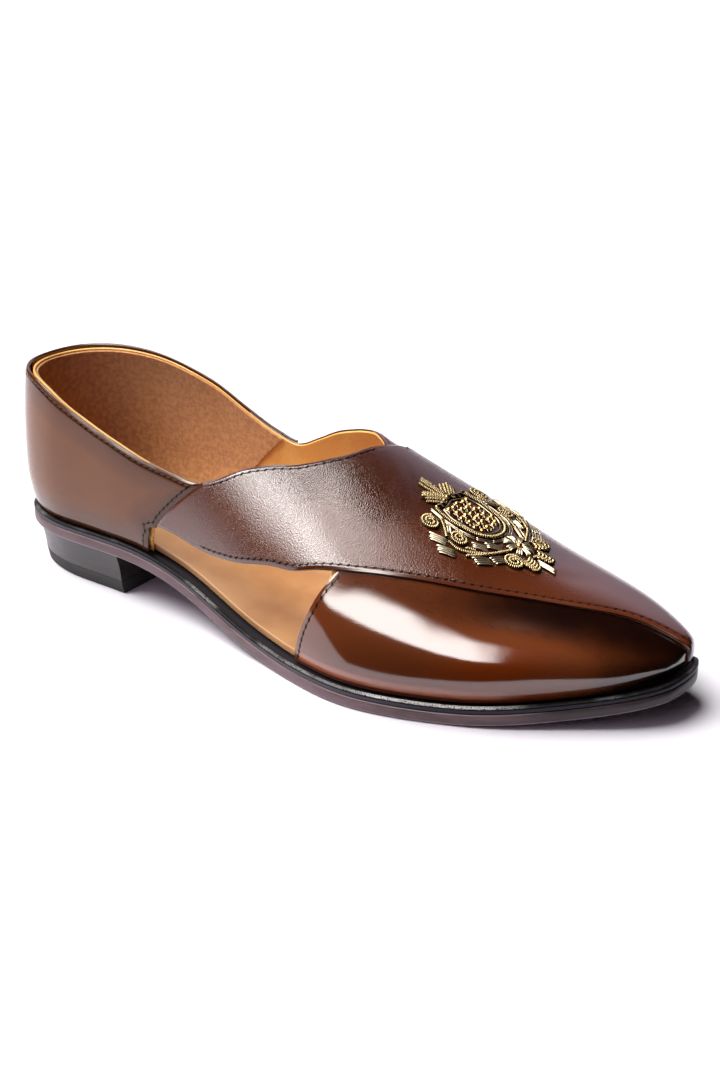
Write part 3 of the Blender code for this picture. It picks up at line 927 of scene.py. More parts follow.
def counter_grid(side, top_level, front_inset):
    """Columns from the heel's back to the counter's front, rows from the feather edge to the
    collar."""
    parts = join([np.linspace(0, 0.9, 76), np.linspace(0.9, 1, 26)[1:]])
    climbs = join([np.linspace(0, 0.8, 44), np.linspace(0.8, 1, 27)[1:]])
    part, climb = np.meshgrid(parts, climbs, indexing="ij")
    x = np.full(part.shape, HEEL_BREAST)
    for _ in range(SETTLING):
        top = at_side(top_angle(x, side), side) * top_level
        skirt = -90 * (1 - climb / SKIRT_SHARE)
        above = top * (climb - SKIRT_SHARE) / (1 - SKIRT_SHARE)
        level = np.where(climb < SKIRT_SHARE, skirt, above)
        x = along(part * station(counter_front(level) - front_inset))
    return station(x)[:, ::-side], at_side(level, side)[:, ::-side]


def counter_patches(top_level=1.0, front_inset=0.0):
    """The heel counter, or a smaller one, in a half for each side."""
    return [counter_grid(side, top_level, front_inset) for side in (-1, 1)]


def upper_patches():
    """The whole last's skin, from feather edge to collar, as the lining's grid."""
    behind = np.arange(14, THROAT_START, 2.0), np.arange(THROAT_START, THROAT_X - 0.2, 0.6)
    middle = join([*behind, np.arange(THROAT_X, BLUNT_TOE, 2.0)])
    ends = np.linspace(0, station(12), 14), np.linspace(station(BLUNT_TOE + 0.2), 1, 16)
    stations = join([ends[0], station(middle), ends[1]])
    rows = np.linspace(0, 1, 34)
    skirt = np.linspace(-90, 0, 9)[:-1]
    patches = []
    for side in (-1, 1):
        top = at_side(top_angle(along(stations), side), side)
        angles = at_side(np.array([join([skirt, end * rows]) for end in top]), side)
        angles = angles[:, ::-side]
        patches.append((np.repeat(stations[:, None], angles.shape[1], 1), angles))
    return patches


def inner_profile(x, level, side):
    """Line on the last, seen from the side."""
    return form(station(x), at_side(level, side), 0.0)[:, [0, 2]]


def side_outline(side):
    """Opening between the strap, the heel counter and the front panel, as seen from the side."""
    if side < 0:
        strap_edge = PANEL_EDGE
        heights = np.linspace(0, 40, 21)
        front_x = curve(heights, *SIDE_FRONT)
    else:
        strap_edge = MEDIAL_STRAP
        heights = np.linspace(0, 30, 8)
        front_x = np.linspace(*MEDIAL_FRONT_X, 8)
    strap_x = np.linspace(front_x[-1], STRAP_END, 28)
    strap = inner_profile(strap_x, curve(strap_x, *strap_edge), side)
    levels = np.array([-10, -20, -30, -45, -60, -75, -90])
    back = inner_profile(counter_front(levels), levels, side)
    floor = np.array([[back[-1, 0], 0.0]])
    return join([np.stack([front_x, heights], -1), strap, back, floor])


def cut_opening(target, side):
    """Cuts one side's opening through a shell, and takes the cutter away again."""
    outline = side_outline(side)
    count = len(outline)
    near, far = (np.insert(outline, 1, side * reach, axis=1) for reach in CUTTER_REACH)
    faces = [tuple(range(count)), tuple(reversed(range(count, 2 * count)))]
    faces += [face[1::-1] + face[:1:-1] for face in tube_faces(2, count)]
    cutter = face_outward(add_mesh("opening_cutter", join([near, far]), faces, None))
    boolean = target.modifiers.new("opening", "BOOLEAN")
    boolean.operation = "DIFFERENCE"
    boolean.solver = "EXACT"
    boolean.object = cutter
    graph = bpy.context.evaluated_depsgraph_get()
    cut = bpy.data.meshes.new_from_object(target.evaluated_get(graph))
    target.modifiers.clear()
    old = target.data
    target.data = cut
    bpy.data.meshes.remove(old)
    bpy.data.objects.remove(cutter)


# ---- stitches


def capsule():
    """One stitch along its own X: rings of a short thread that dives at both ends, and a flat disc
    for the slanted needle hole it shares with the next one, painted near black as the hole's shade."""
    sides = 8
    t = np.array([-1.0, -0.93, -0.75, -0.4, 0.0, 0.4, 0.75, 0.93, 1.0])
    turn = np.arange(sides) * 2 * np.pi / sides
    radius = STITCH_RADIUS * np.array([0.25, 0.62, 0.92, 1.0, 1.02, 1.0, 0.92, 0.62, 0.25])
    rise = STITCH_RISE * (1 - t**4) - STITCH_SINK
    points = np.zeros((len(t), sides, 3))
    points[..., 0] = t[:, None] * STITCH_LENGTH / 2
    points[..., 1] = radius[:, None] * np.cos(turn)
    points[..., 2] = radius[:, None] * np.sin(turn) * 0.9 + rise[:, None]
    faces = [tuple(reversed(range(sides))), tuple(range((len(t) - 1) * sides, len(t) * sides))]
    faces += tube_faces(len(t), sides)
    turn = np.arange(HOLE_SIDES) * 2 * np.pi / HOLE_SIDES
    long, short = HOLE_SIZE[0] * np.cos(turn), HOLE_SIZE[1] * np.sin(turn)
    cos, sin = np.cos(HOLE_SLANT), np.sin(HOLE_SLANT)
    x = long * cos - short * sin + STITCH_PITCH / 2
    hole = np.stack([x, long * sin + short * cos, np.full(HOLE_SIDES, HOLE_HEIGHT)], -1)
    points = points.reshape(-1, 3)
    faces.append(tuple(range(len(points), len(points) + HOLE_SIDES)))
    return join([points, hole]), faces


def inset_path(x, angle, towards, grow=OVERLAY_OUTSIDE):
    """Line on the skin, where the stitches run inside an edge. `towards` is the step in place and
    angle that leads off the edge into the panel."""
    edge = form(station(x), angle, grow)
    inside = form(station(x + towards[0]), angle + towards[1], grow)
    tangent = unit(np.gradient(edge, axis=0))
    into = inside - edge
    into = unit(into - tangent * np.sum(into * tangent, -1, keepdims=True))
    return edge + into * STITCH_INSET


def surface_of(made):
    mesh = made.data
    points = np.empty(len(mesh.vertices) * 3)
    mesh.vertices.foreach_get("co", points)
    points = points.reshape(-1, 3) / MM + MIDDLE
    return BVHTree.FromPolygons(points.tolist(), [tuple(face.vertices) for face in mesh.polygons])


def stitch_rows(name, paths, surface, finish):
    """Stitches a pitch apart along these paths, each laid on the surface and standing off it, as
    one mesh."""
    template, faces = capsule()
    points, all_faces = [], []
    for path in paths:
        run = run_along(path)
        middles = np.arange(STITCH_PITCH / 2, run[-1], STITCH_PITCH)
        ends = [middles - STITCH_LENGTH / 2, middles + STITCH_LENGTH / 2]
        ends = [np.stack([np.interp(end, run, path[:, k]) for k in range(3)], -1) for end in ends]
        for a, b in zip(*ends):
            normal = np.array(surface.find_nearest((Vector(a) + Vector(b)) / 2)[1])
            a, b = (surface.find_nearest(end)[0] for end in (a, b))
            ahead = unit(np.array(b - a))
            spot = np.array((a + b) / 2)
            if np.sum(normal * (spot - SHOE_INSIDE)) < 0:
                normal = -normal
            normal = unit(normal - ahead * np.sum(normal * ahead))
            axes = np.stack([ahead, np.cross(normal, ahead), normal])
            start = len(points) * len(template)
            points.append(spot + template @ axes)
            all_faces += [tuple(corner + start for corner in face) for face in faces]
    hole = np.arange(len(template)) >= len(template) - HOLE_SIDES
    values = {"hole": np.tile(hole, len(points)).astype(float)}
    return add_mesh(name, join(points), all_faces, finish, values)


def seam_paths():
    """Every row of stitches, as a path beside its edge, for each piece that is sewn."""
    x = np.linspace(112, 282.8, 258)
    lower = inset_path(x, panel_edge(x), (0, 2))
    throat = np.linspace(THROAT_START, THROAT_X - 0.05, 60)[1:]
    x = join([np.linspace(113, THROAT_START, 60), throat])
    collar = inset_path(x, top_angle(x, -1), (0, -2))
    angle = np.linspace(112, 262, 120)
    rear = inset_path(curve(angle, *PANEL_REAR), angle, (2, 0))
    collar = join([collar[:-14], rear])
    shares, front_x = side_front_offset(lambda x: panel_edge(x) + UNDERLAP)
    angles = -90 + (panel_edge(front_x) + UNDERLAP + 90) * shares
    keep = (angles > -80) & (angles < panel_edge(front_x) - 1.5)
    front = inset_path(front_x[keep], angles[keep], (2, 0), PANEL[1])
    x = np.linspace(112, 157, 90)
    strap_top = inset_path(x, top_angle(x, 1), (0, 2), PANEL[1])
    strap_low = inset_path(x, 180 - curve(x, *MEDIAL_STRAP), (0, -2), PANEL[1])
    counter = []
    for side, end, level_end in ((-1, 105.5, 20), (1, 102.5, 17)):
        x = end * np.linspace(0, 1, 200) ** 2
        counter.append(inset_path(x, top_angle(x, side), (0, 2 * side)))
        level = np.linspace(-80, level_end, 80)
        counter.append(inset_path(counter_front(level), at_side(level, side), (-2, 0)))
    strap = [strap_top, strap_low]
    return {"over": [lower, collar], "front": [front], "strap": strap, "counter": counter}


# ---- the crest

SPINE_LENGTH = 55.0
LATTICE_START = (15.9, -9.6)
LATTICE_END = (31.0, 9.7)
LATTICE_STEP = (2.55, 3.2)
CREST_P = np.linspace(-4, 62, 133)
CREST_Q = np.linspace(-36, 34, 141)


def crest_skin():
    """Points and normals of the vamp on a grid of the crest's own coordinates."""
    fine = np.linspace(8, 178, 341)
    skin = form(station(MOTIF_START + CREST_P)[:, None], fine[None], OVERLAY_OUTSIDE)
    arc = run_along(skin)
    spine = MOTIF_SPINE[0] + (MOTIF_SPINE[1] - MOTIF_SPINE[0]) * CREST_P / SPINE_LENGTH
    angles = np.empty((len(CREST_P), len(CREST_Q)))
    for i, (row, centre) in enumerate(zip(arc, spine)):
        angles[i] = np.interp(np.interp(centre, fine, row) + CREST_Q, row, fine)
    points = form(station(MOTIF_START + CREST_P)[:, None], angles, OVERLAY_OUTSIDE)
    normals = unit(np.cross(np.gradient(points, axis=0), np.gradient(points, axis=1)))
    return points, normals * np.sign(normals[..., 2:].mean())


CREST_POINTS, CREST_NORMALS = crest_skin()


def crest_at(p, r, lift=0.0):
    """Place and normal on the vamp, p mm along the crest's axis, r mm beside it (+ lateral)."""
    i = np.clip((np.asarray(p) - CREST_P[0]) / (CREST_P[1] - CREST_P[0]), 0, len(CREST_P) - 1.001)
    q = MOTIF_OFFSET - np.asarray(r)
    j = np.clip((q - CREST_Q[0]) / (CREST_Q[1] - CREST_Q[0]), 0, len(CREST_Q) - 1.001)
    a, b = i.astype(int), j.astype(int)
    s, t = (i - a)[..., None], (j - b)[..., None]
    found = []
    for grid in (CREST_POINTS, CREST_NORMALS):
        low = grid[a, b] * (1 - s) + grid[a + 1, b] * s
        high = grid[a, b + 1] * (1 - s) + grid[a + 1, b + 1] * s
        found.append(low * (1 - t) + high * t)
    normal = unit(found[1])
    return found[0] + normal * np.asarray(lift)[..., None], normal


def smooth_line(knots, step):
    """Evenly spaced points on a smooth curve through a few knots (p, r)."""
    line = np.asarray(knots, float)
    if len(line) > 2:
        reach = run_along(line)
        dense = np.linspace(0, reach[-1], 40 * len(line))
        line = np.stack([curve(dense, reach, line[:, k]) for k in (0, 1)], -1)
    run = run_along(line)
    at = np.linspace(0, run[-1], max(2, int(np.ceil(run[-1] / step)) + 1))
    return np.stack([np.interp(at, run, line[:, k]) for k in (0, 1)], -1)


class Bundle:
    """Tubes gathered into one mesh, with a `ridge` number that is high on top of each turn and low
    in its hollows and underneath, where the finish paints shade.
    """

    def __init__(self):
        self.points, self.faces, self.ridge = [], [], []
        self.count = 0

    def add(self, rings, poles, crown, pole_crown):
        """Skin over rings of points, closed to a pole at each end."""
        rows, sides = rings.shape[:2]
        index = self.count + np.arange(rows * sides).reshape(rows, sides)
        after = np.roll(index, -1, axis=1)
        pole = self.count + rows * sides
        sheet = np.stack([index[:-1], index[1:], after[1:], after[:-1]], -1)
        self.faces += sheet.reshape(-1, 4).tolist()
        self.faces += [(pole, a, b) for a, b in zip(index[0].tolist(), after[0].tolist())]
        self.faces += [(pole + 1, b, a) for a, b in zip(index[-1].tolist(), after[-1].tolist())]
        self.points += [rings.reshape(-1, 3), np.stack(poles)]
        self.ridge += [np.broadcast_to(crown, (rows, sides)).reshape(-1), pole_crown]
        self.count = pole + 2

    def tube(self, line, lift, radius, sides, lobes=0, pitch=1.0, depth=0.0, phase=0.0):
        """Tube along a line of the crest. With `lobes`, its section turns as a cord's strands."""
        centres, normals = crest_at(*np.transpose(line), lift)
        tangent = unit(np.gradient(centres, axis=0))
        up = unit(normals - tangent * np.sum(normals * tangent, -1, keepdims=True))
        beside = np.cross(tangent, up)
        run = run_along(centres)
        turn = np.arange(sides) * 2 * np.pi / sides
        radius = np.broadcast_to(radius, len(centres))[:, None]
        # crown: high on top of the tube, low on its sides and underneath, for painted shade
        outward = crown = (1 + np.cos(turn)) / 2
        wave = 1.0
        if lobes:
            wave = np.cos(lobes * turn[None] - 2 * np.pi * run[:, None] / pitch + phase)
            # on a cord, low also in the grooves between turns, for painted shade
            crown = (wave + 1) / 2 * (0.4 + 0.6 * outward)
        reach = (radius * (1 + depth * wave) * np.ones(sides))[..., None]
        cos, sin = np.cos(turn)[None, :, None], np.sin(turn)[None, :, None]
        flat = cos * up[:, None] + sin * beside[:, None]
        self.add(centres[:, None] + reach * flat, (centres[0], centres[-1]), crown, np.zeros(2))

    def bead(self, p, r, radius):
        """Sphere sunk a little into the crest, pressed a little flat."""
        sides = 10
        centre, normal = crest_at(np.array(p), np.array(r), np.array(radius * 0.7))
        across = unit(np.cross(normal, [0.3, 1.0, 0.2]))
        beside = np.cross(normal, across)
        tilt = np.linspace(0, np.pi, 7)[1:-1]
        turn = np.arange(sides) * 2 * np.pi / sides
        flat = np.cos(turn)[:, None] * across + np.sin(turn)[:, None] * beside
        top = normal * 0.85
        cos, sin = np.cos(tilt)[:, None, None], np.sin(tilt)[:, None, None]
        ring = centre + radius * (sin * flat + cos * top)
        poles = (centre + radius * top, centre - radius * top)
        # the crown number falls from the bead's top to its underside, for painted shade
        self.add(ring, poles, (np.cos(tilt)[:, None] + 1) / 2, np.array([1.0, 0.0]))

    def mesh(self, name, finish):
        values = {"ridge": join(self.ridge)}
        return add_mesh(name, join(self.points), self.faces, finish, values)


COIL_RADIUS = 0.63
COIL_PITCH = 0.66
COIL_DEPTH = 0.26
COIL_SIDES = 9
LEAF_RADIUS = 0.58
WIRE_RADIUS = 0.3
BAR_RADIUS = 0.37


def coil(bundle, line, radius=COIL_RADIUS, lift=None, phase=0.0):
    """Wire-wrapped cord laid along a line of the crest."""
    step = COIL_PITCH / 5
    line = smooth_line(line, step)
    t = np.linspace(0, 1, len(line))
    height = radius * 0.85 if lift is None else lift
    taper = np.minimum(1, np.minimum(t, 1 - t) * len(line) * step / 0.5 + 0.45)
    bundle.tube(line, height, radius * taper, COIL_SIDES, 1, COIL_PITCH, COIL_DEPTH, phase)


def wire(bundle, line, radius=WIRE_RADIUS, lift=0.3, arch=0.0):
    line = smooth_line(line, 0.55)
    height = lift + arch * np.sin(np.pi * np.linspace(0, 1, len(line)))
    bundle.tube(line, height, radius, 7)


def rope(bundle, line, radius, lift):
    """Cord of two strands laid round each other."""
    bundle.tube(smooth_line(line, 0.2), lift, radius, 12, 2, 2.3, 0.26)


def bars(bundle, start, end, count, arch=0.3, fan=1.0, radius=BAR_RADIUS, slant=0.16):
    """Bundle of straight smooth rods side by side, their ends cut on the slant; `fan` draws their
    starts together."""
    start, end = np.array(start, float), np.array(end, float)
    run = end - start
    beside = left_of(run)
    t = np.linspace(0, 1, 8)
    for k in range(count):
        place = k - (count - 1) / 2
        off = place * radius * 2.5
        share = (t - 0.5) * (0.94 - 0.1 * (k % 2)) + 0.5 + slant * place / count
        line = start + run * share[:, None] + beside * (off * (fan + (1 - fan) * t))[:, None]
        height = radius * 0.8 + arch * np.sin(np.pi * t) ** 0.6
        bundle.tube(line, height, radius, 8)


def arcs(bundle, centre, heading, count, half):
    """Stacked arcs of coil, each bowed along the heading, the last one shortest."""
    centre, heading = np.array(centre, float), np.radians(heading)
    ahead = np.array([np.cos(heading), np.sin(heading)])
    beside = np.array([-ahead[1], ahead[0]])
    for k in range(count):
        reach = half * (1 - 0.07 * k)
        knots = [
            centre + ahead * (1.25 * k + bow) + beside * across * reach
            for across, bow in ((-1, -1.3), (-0.55, -0.2), (0, 0.2), (0.55, -0.2), (1, -1.3))
        ]
        coil(bundle, knots, 0.66, 0.6 + 0.25 * np.sin(np.pi * (k + 0.5) / count), k * 1.3)


def spiral(bundle, centre, reach, turns, phase):
    """Coil wound into a flat rosette, its middle standing higher."""
    length = np.pi * turns * reach
    t = np.sqrt(np.linspace(0.012, 1, int(length / (COIL_PITCH / 5))))
    turn = 2 * np.pi * turns * t + phase
    away = (reach - COIL_RADIUS) * t
    line = np.stack([centre[0] + away * np.cos(turn), centre[1] + away * np.sin(turn)], -1)
    height = COIL_RADIUS * 0.85 + 0.5 * (1 - t)
    radius = COIL_RADIUS * np.minimum(1, t * 3 + 0.5)
    bundle.tube(line, height, radius, COIL_SIDES, 1, COIL_PITCH, COIL_DEPTH)


def leaf(bundle, tip, base, rows, spread):
    """Blunt leaf of coils side by side, from base to tip, standing highest along its middle."""
    tip, base = np.array(tip, float), np.array(base, float)
    run = tip - base
    beside = left_of(run)
    t = np.linspace(0, 1, 9)
    belly = np.sin(np.pi * (0.05 + t * 0.62)) ** 1.2
    width = (rows - 1) * LEAF_RADIUS * (0.62 + (spread - 0.62) * belly)
    for k in range(rows):
        place = (k - (rows - 1) / 2) / ((rows - 1) / 2)
        short = 0.13 * abs(place) + 0.05 * (k % 2)
        line = base + run * (t * (1 - short))[:, None] + beside * (place * width)[:, None]
        coil(bundle, line, LEAF_RADIUS, LEAF_RADIUS * 0.8 + 0.55 * (1 - place**2), k * 2.1)


MEDALLION_EDGE = (12.6, 9.4), (19, 10.8), (23.2, 10.2), (27, 9.4), (30.8, 7), (33, 3.4), (33.6, 0)
MEDALLION_WIRE = (12, 11.2), (18.6, 12.4), (22.8, 12.4), (28.6, 11.1), (32.6, 8.2), (34.9, 3.8)
MEDALLION_WIRE += ((35.4, 0),)
MEDALLION_HEEL = (12.6, 9.6), (13.1, 6), (12.2, 2.6), (10.3, 0)
MEDALLION_INNER = (14.6, 7.4), (19, 9), (23, 8.6), (27.2, 7.6), (30, 5.4), (31.6, 0)
MEDALLION_CROSS = (14.9, 7.2), (13.9, 2.4), (13.4, 0)
STEMS = (
    ((16.6, 12.6), (19.8, 15.6), (23.0, 19.4)),
    ((24.0, 20.4), (28.4, 21.0), (33.2, 17.8), (35.6, 15.0)),
    ((31.6, 21.6), (34.8, 17.2), (37.4, 12.2), (40.2, 5.4)),
)
ROSETTES = (
    ((15.4, 17.0), 3.9, 2.6, 0.4),
    ((26.2, 16.0), 3.8, 2.5, 1.4),
    ((44.2, 9.9), 4.3, 2.8, 0.2),
)
SIDE_BARS = (
    ((18.0, 23.2), (24.6, 21.4), 4),
    ((23.0, 26.4), (29.2, 23.8), 4),
    ((34.6, 21.4), (38.8, 16.8), 4),
    ((38.8, 16.2), (41.4, 11.6), 4),
    ((30.0, 14.8), (35.4, 12.2), 3),
    ((33.2, 10.8), (38.4, 7.0), 3),
    ((19.2, 12.8), (22.6, 16.8), 2),
)


def round_tip(line):
    """A half line and its mirror image, joined at the axis."""
    return list(line) + [(p, -r) for p, r in line[-2::-1]]


def broken_wire(bundle, line, piece, radius, lift):
    """Smooth wire laid in lengths end to end, each cut a little short."""
    line = smooth_line(line, 0.4)
    count = max(2, int(piece / 0.4))
    for start in range(0, len(line) - 3, count):
        wire(bundle, line[start : start + count + (start // count) % 2], radius, lift, 0.12)


def crest_parts():
    coils, ropes, smooth, beads = Bundle(), Bundle(), Bundle(), Bundle()
    # trefoil towards the throat
    leaf(coils, (0.2, 0.2), (10.9, 0.2), 4, 1.1)
    leaf(coils, (6.2, 8.4), (12.0, 1.4), 5, 1.0)
    leaf(coils, (7.0, -7.4), (12.0, -1.2), 5, 1.0)
    beads.bead(11.6, 0.1, 1.15)
    # medallion: cords, wires, beads on a lattice
    coil(coils, round_tip(MEDALLION_EDGE), 0.7, 0.65)
    rope(ropes, round_tip(MEDALLION_HEEL), 0.78, 0.8)
    for grow in (-0.4, 0.4):
        wide = [(p + grow * 0.6, r + grow) for p, r in MEDALLION_WIRE[:-1]]
        broken_wire(smooth, round_tip(wide + [(MEDALLION_WIRE[-1][0] + grow, 0)]), 6.0, 0.27, 0.3)
    wire(smooth, round_tip(MEDALLION_INNER), 0.3, 0.4)
    wire(smooth, round_tip(MEDALLION_CROSS), 0.3, 0.4)
    for k, (p, r) in enumerate(lattice()):
        p, r = p + 0.3 * np.sin(2.4 * k), r + 0.35 * np.sin(4.1 * k + 1)
        beads.bead(p, r, 1.04 + 0.1 * np.sin(3.3 * k))
        if lattice_inside(p + 1.4, r + 1.4):
            sway = 0.3 * ((k * 3) % 4 - 1.5)
            knots = (-0.7, 1.2), (0.2, 1.7 + sway * 0.4), (0.5, 1.3), (1.5, 1.9)
            wire(smooth, np.add((p, r), knots), 0.22, 0.6, 0.4)
            if k % 2:
                coil(coils, ((p + 1.0, r - 1.2), (p + 1.9, r - 0.4 + sway)), 0.42, 0.5)
    # sides: rosettes, stems and rods, and their mirror images
    for side in (1, -1):
        mirror = (1, side)
        for centre, reach, turns, phase in ROSETTES:
            spiral(coils, np.multiply(centre, mirror), reach, turns, phase * side)
        for stem in STEMS:
            coil(coils, np.multiply(stem, mirror))
        coil(coils, np.multiply(((29.6, 18.2), (32.6, 16.4)), mirror), 0.55)
        for start, end, count in SIDE_BARS:
            bars(smooth, np.multiply(start, mirror), np.multiply(end, mirror), count)
    coil(coils, ((26.6, -14.2), (33, -10.6), (39.4, -5.6)))
    # flower where the stems meet
    for turn in np.radians((20, 62, 105, 150, 200, 245, 290, 335)):
        tip = (40.4 + 5.6 * np.cos(turn), 5.2 * np.sin(turn))
        start = (40.4 + 1.0 * np.cos(turn), 1.0 * np.sin(turn))
        bars(smooth, start, tip, 3, 0.8, 0.35, 0.36, 0.0)
    beads.bead(40.4, 0, 1.2)
    # shells and the tail towards the toe
    arcs(coils, (46.8, 6.0), 12, 5, 3.0)
    arcs(coils, (47.4, -1.6), -12, 5, 2.7)
    arcs(coils, (43.6, -6.4), -50, 4, 2.6)
    bars(smooth, (48.8, 2.4), (56.6, 2.8), 3, 0.3, 1.0, 0.4, 0.2)
    return coils, ropes, smooth, beads


def lattice_inside(p, r):
    """Whether a place lies inside the medallion's inner wire."""
    half = np.interp(p, *np.transpose(MEDALLION_INNER)) - 0.9
    return 14.4 < p < 31.2 and abs(r) < half


def lattice():
    """Staggered rows of beads that fill the medallion."""
    found = []
    for i, p in enumerate(np.arange(LATTICE_START[0], LATTICE_END[0], LATTICE_STEP[0])):
        first = LATTICE_START[1] + (i % 2) * LATTICE_STEP[1] / 2
        for r in np.arange(first, LATTICE_END[1], LATTICE_STEP[1]):
            if lattice_inside(p, r):
                found.append((float(p), float(r)))
    return found


# ---- the sole


def build_sole():
    """Each plate's levels are its rounded arrises, from the lower one to the upper one."""
    thick = OUTSOLE_THICKNESS
    levels = ((0, -0.9), (0.12, -0.45), (0.4, -0.14), (0.8, 0), (2.6, 0.05))
    levels += ((thick - 0.5, 0), (thick - 0.1, -0.15), (thick, -0.4))
    outsole = plate("outsole_edge", levels, sole_edge(), 0, SOLE_EXTENSION, SOLE_TOE_REACH)
    dress(outsole, "outsole", "outsole")
    thick = WELT_THICKNESS
    levels = ((0, -0.4), (0.15, -0.1), (1.1, 0.02), (thick - 0.5, 0), (thick - 0.2, -0.15))
    levels += ((thick + 0.02, -0.5), (thick + 0.07, -0.85), (thick + 0.02, -1.2))
    levels += ((thick - 0.9, -1.5), (thick - 0.95, -4.2))
    welt = plate("welt_rim", levels, welt_finish(), WELT_BASE, SOLE_EXTENSION, SOLE_TOE_REACH)
    dress(welt, "welt", "welt")
    thick = INSOLE_THICKNESS
    levels = ((0, 0), (thick - 0.5, 0), (thick - 0.15, -0.15), (thick, -0.5))
    inward = -FEATHER_TUCK - INSOLE_CLEARANCE
    insole = plate("insole_sock", levels, insole_leather(), UPPER_BASE + GAP, inward)
    dress(insole, "insole", "insole")
    seat = np.linspace(0, station(HEEL_BREAST), 60)
    base = TOP_LIFT_THICKNESS + GAP
    flare = HEEL_SEAT_EXTENSION - TOP_LIFT_EXTENSION
    levels = []
    for share in np.linspace(0, 1, 9):
        waist = -0.25 * np.sin(np.pi * share)
        levels.append((share * (HEEL_HEIGHT - GAP - base), flare * share + waist))
    block = plate("heel_stack", levels, heel_leather(), base, TOP_LIFT_EXTENSION, 0, seat, True)
    dress(block, "heel_block", "heel_block")
    thick = TOP_LIFT_THICKNESS
    levels = ((0, -0.9), (0.3, -0.6), (thick - 0.3, 0), (thick, -0.25))
    lift = plate("heel_lift", levels, rubber_finish(), 0, TOP_LIFT_EXTENSION, 0, seat, True)
    dress(lift, "heel_top_lift", "heel_top_lift")


# ---- the upper


def build_upper():
    glossy = glossy_leather("burnished_brown_leather", *BROWN_TONES)
    counter_skin = glossy_leather("burnished_tan_leather", *TAN_TONES, ior=1.55)
    lining = shell("lining", upper_patches(), *LINING, tan_lining(), bulge=0.1)
    for side in (-1, 1):
        cut_opening(lining, side)
    dress(lining, "upper", "upper")
    grained = grained_leather()

    def medial_edge(x):
        return 180 - curve(x, *MEDIAL_STRAP)

    def lateral_edge(x):
        return panel_edge(x) + BACKING_INSET

    def backing_top(x):
        return np.minimum(top_angle(x, -1), BACKING_TOP)

    medial_strap = strap_patches(STRAP_TUCK_X, lambda x: top_angle(x, 1), medial_edge)
    backing = strap_patches(BACKING_END_X, lateral_edge, backing_top)
    behind_counter = counter_patches(COUNTER_LINING_TOP, COUNTER_LINING_SETBACK)
    front_look = {"relief": creased(FRONT_PANEL_CREASES, 0.15), "paint": front_panel_tone}
    strap_look = {"relief": creased(()), "paint": burnished_tone}
    over_look = {"relief": creased(OVER_PANEL_CREASES), "paint": over_panel_tone}
    counter_look = {"relief": creased(COUNTER_CREASES), "paint": burnished_tone}
    sewn = {}
    for name, slot, patches, layer, finish, look in (
        ("under_panel_front", "upper", front_panel_patches(), PANEL, glossy, front_look),
        ("under_panel_strap", "upper", medial_strap, PANEL, glossy, strap_look),
        ("strap_backing", "upper", backing, PANEL, raw_backing(), {}),
        ("counter_lining", "upper", behind_counter, COUNTER_LINING, suede(), {"bulge": 0.15}),
        ("over_panel_leather", "over_panel", over_panel_patches(), OVERLAY, grained, over_look),
        ("counter_leather", "heel_counter", counter_patches(), OVERLAY, counter_skin, counter_look),
    ):
        sewn[name] = dress(shell(name, patches, *layer, finish, **look), slot, slot)
    thread = thread_finish()
    paths = seam_paths()
    for name, piece, slot in (
        ("over", "over_panel_leather", "over_panel"),
        ("front", "under_panel_front", "upper"),
        ("strap", "under_panel_strap", "upper"),
        ("counter", "counter_leather", "heel_counter"),
    ):
        stitches = stitch_rows(name + "_stitches", paths[name], surface_of(sewn[piece]), thread)
        dress(stitches, slot)


def build_crest():
    finishes = (
        ("crest_coils", "wrapped_gold_thread", (0.022, 0.012, 0.004), (0.8, 0.62, 0.33), 0.26),
        ("crest_ropes", "gold_cord", (0.03, 0.018, 0.006), (0.84, 0.66, 0.36), 0.26),
        ("crest_bars", "pale_gold_wire", (0.03, 0.017, 0.006), (0.78, 0.67, 0.48), 0.32),
        ("crest_beads", "gold_beads", (0.12, 0.055, 0.012), (0.84, 0.5, 0.17), 0.22),
    )
    for bundle, (name, *finish) in zip(crest_parts(), finishes):
        dress(bundle.mesh(name, metal_thread(*finish)), "embroidered_motif", "embroidered_motif")


# ---- stage, light and camera

CAMERA_AZIMUTH = 28.0
CAMERA_ELEVATION = 22.0
CAMERA_AIM = (0.04741, 0.06381, 0.03586)
CAMERA_DISTANCE = 0.6
CAMERA_LENS = 50.5
# where the whole shoe's middle is seen from there
SHOE_MIDDLE = (0.0082, 0.0136, 0.0308)


def direction(azimuth, elevation):
    """Unit vector towards an azimuth (0 is -Y, 90 is +X) and an elevation."""
    a, e = np.radians(azimuth), np.radians(elevation)
    return np.array([np.sin(a) * np.cos(e), -np.cos(a) * np.cos(e), np.sin(e)])


def add_camera():
    data = bpy.data.cameras.new("camera")
    made = bpy.data.objects.new("camera", data)
    bpy.context.scene.collection.objects.link(made)
    back = direction(CAMERA_AZIMUTH, CAMERA_ELEVATION)
    made.location = Vector(CAMERA_AIM) + Vector(back) * CAMERA_DISTANCE
    made.rotation_mode = "QUATERNION"
    made.rotation_quaternion = (Vector(SHOE_MIDDLE) - made.location).to_track_quat("-Z", "Y")
    data.sensor_width = 36
    data.lens = CAMERA_LENS
    data.clip_start = 0.01
    bpy.context.scene.camera = made


def axes_about(azimuth, elevation):
    """Unit vectors right of, above and towards a direction."""
    towards = direction(azimuth, elevation)
    right = unit(np.cross(np.array([0, 0, 1.0]), towards))
    return right, np.cross(towards, right), towards


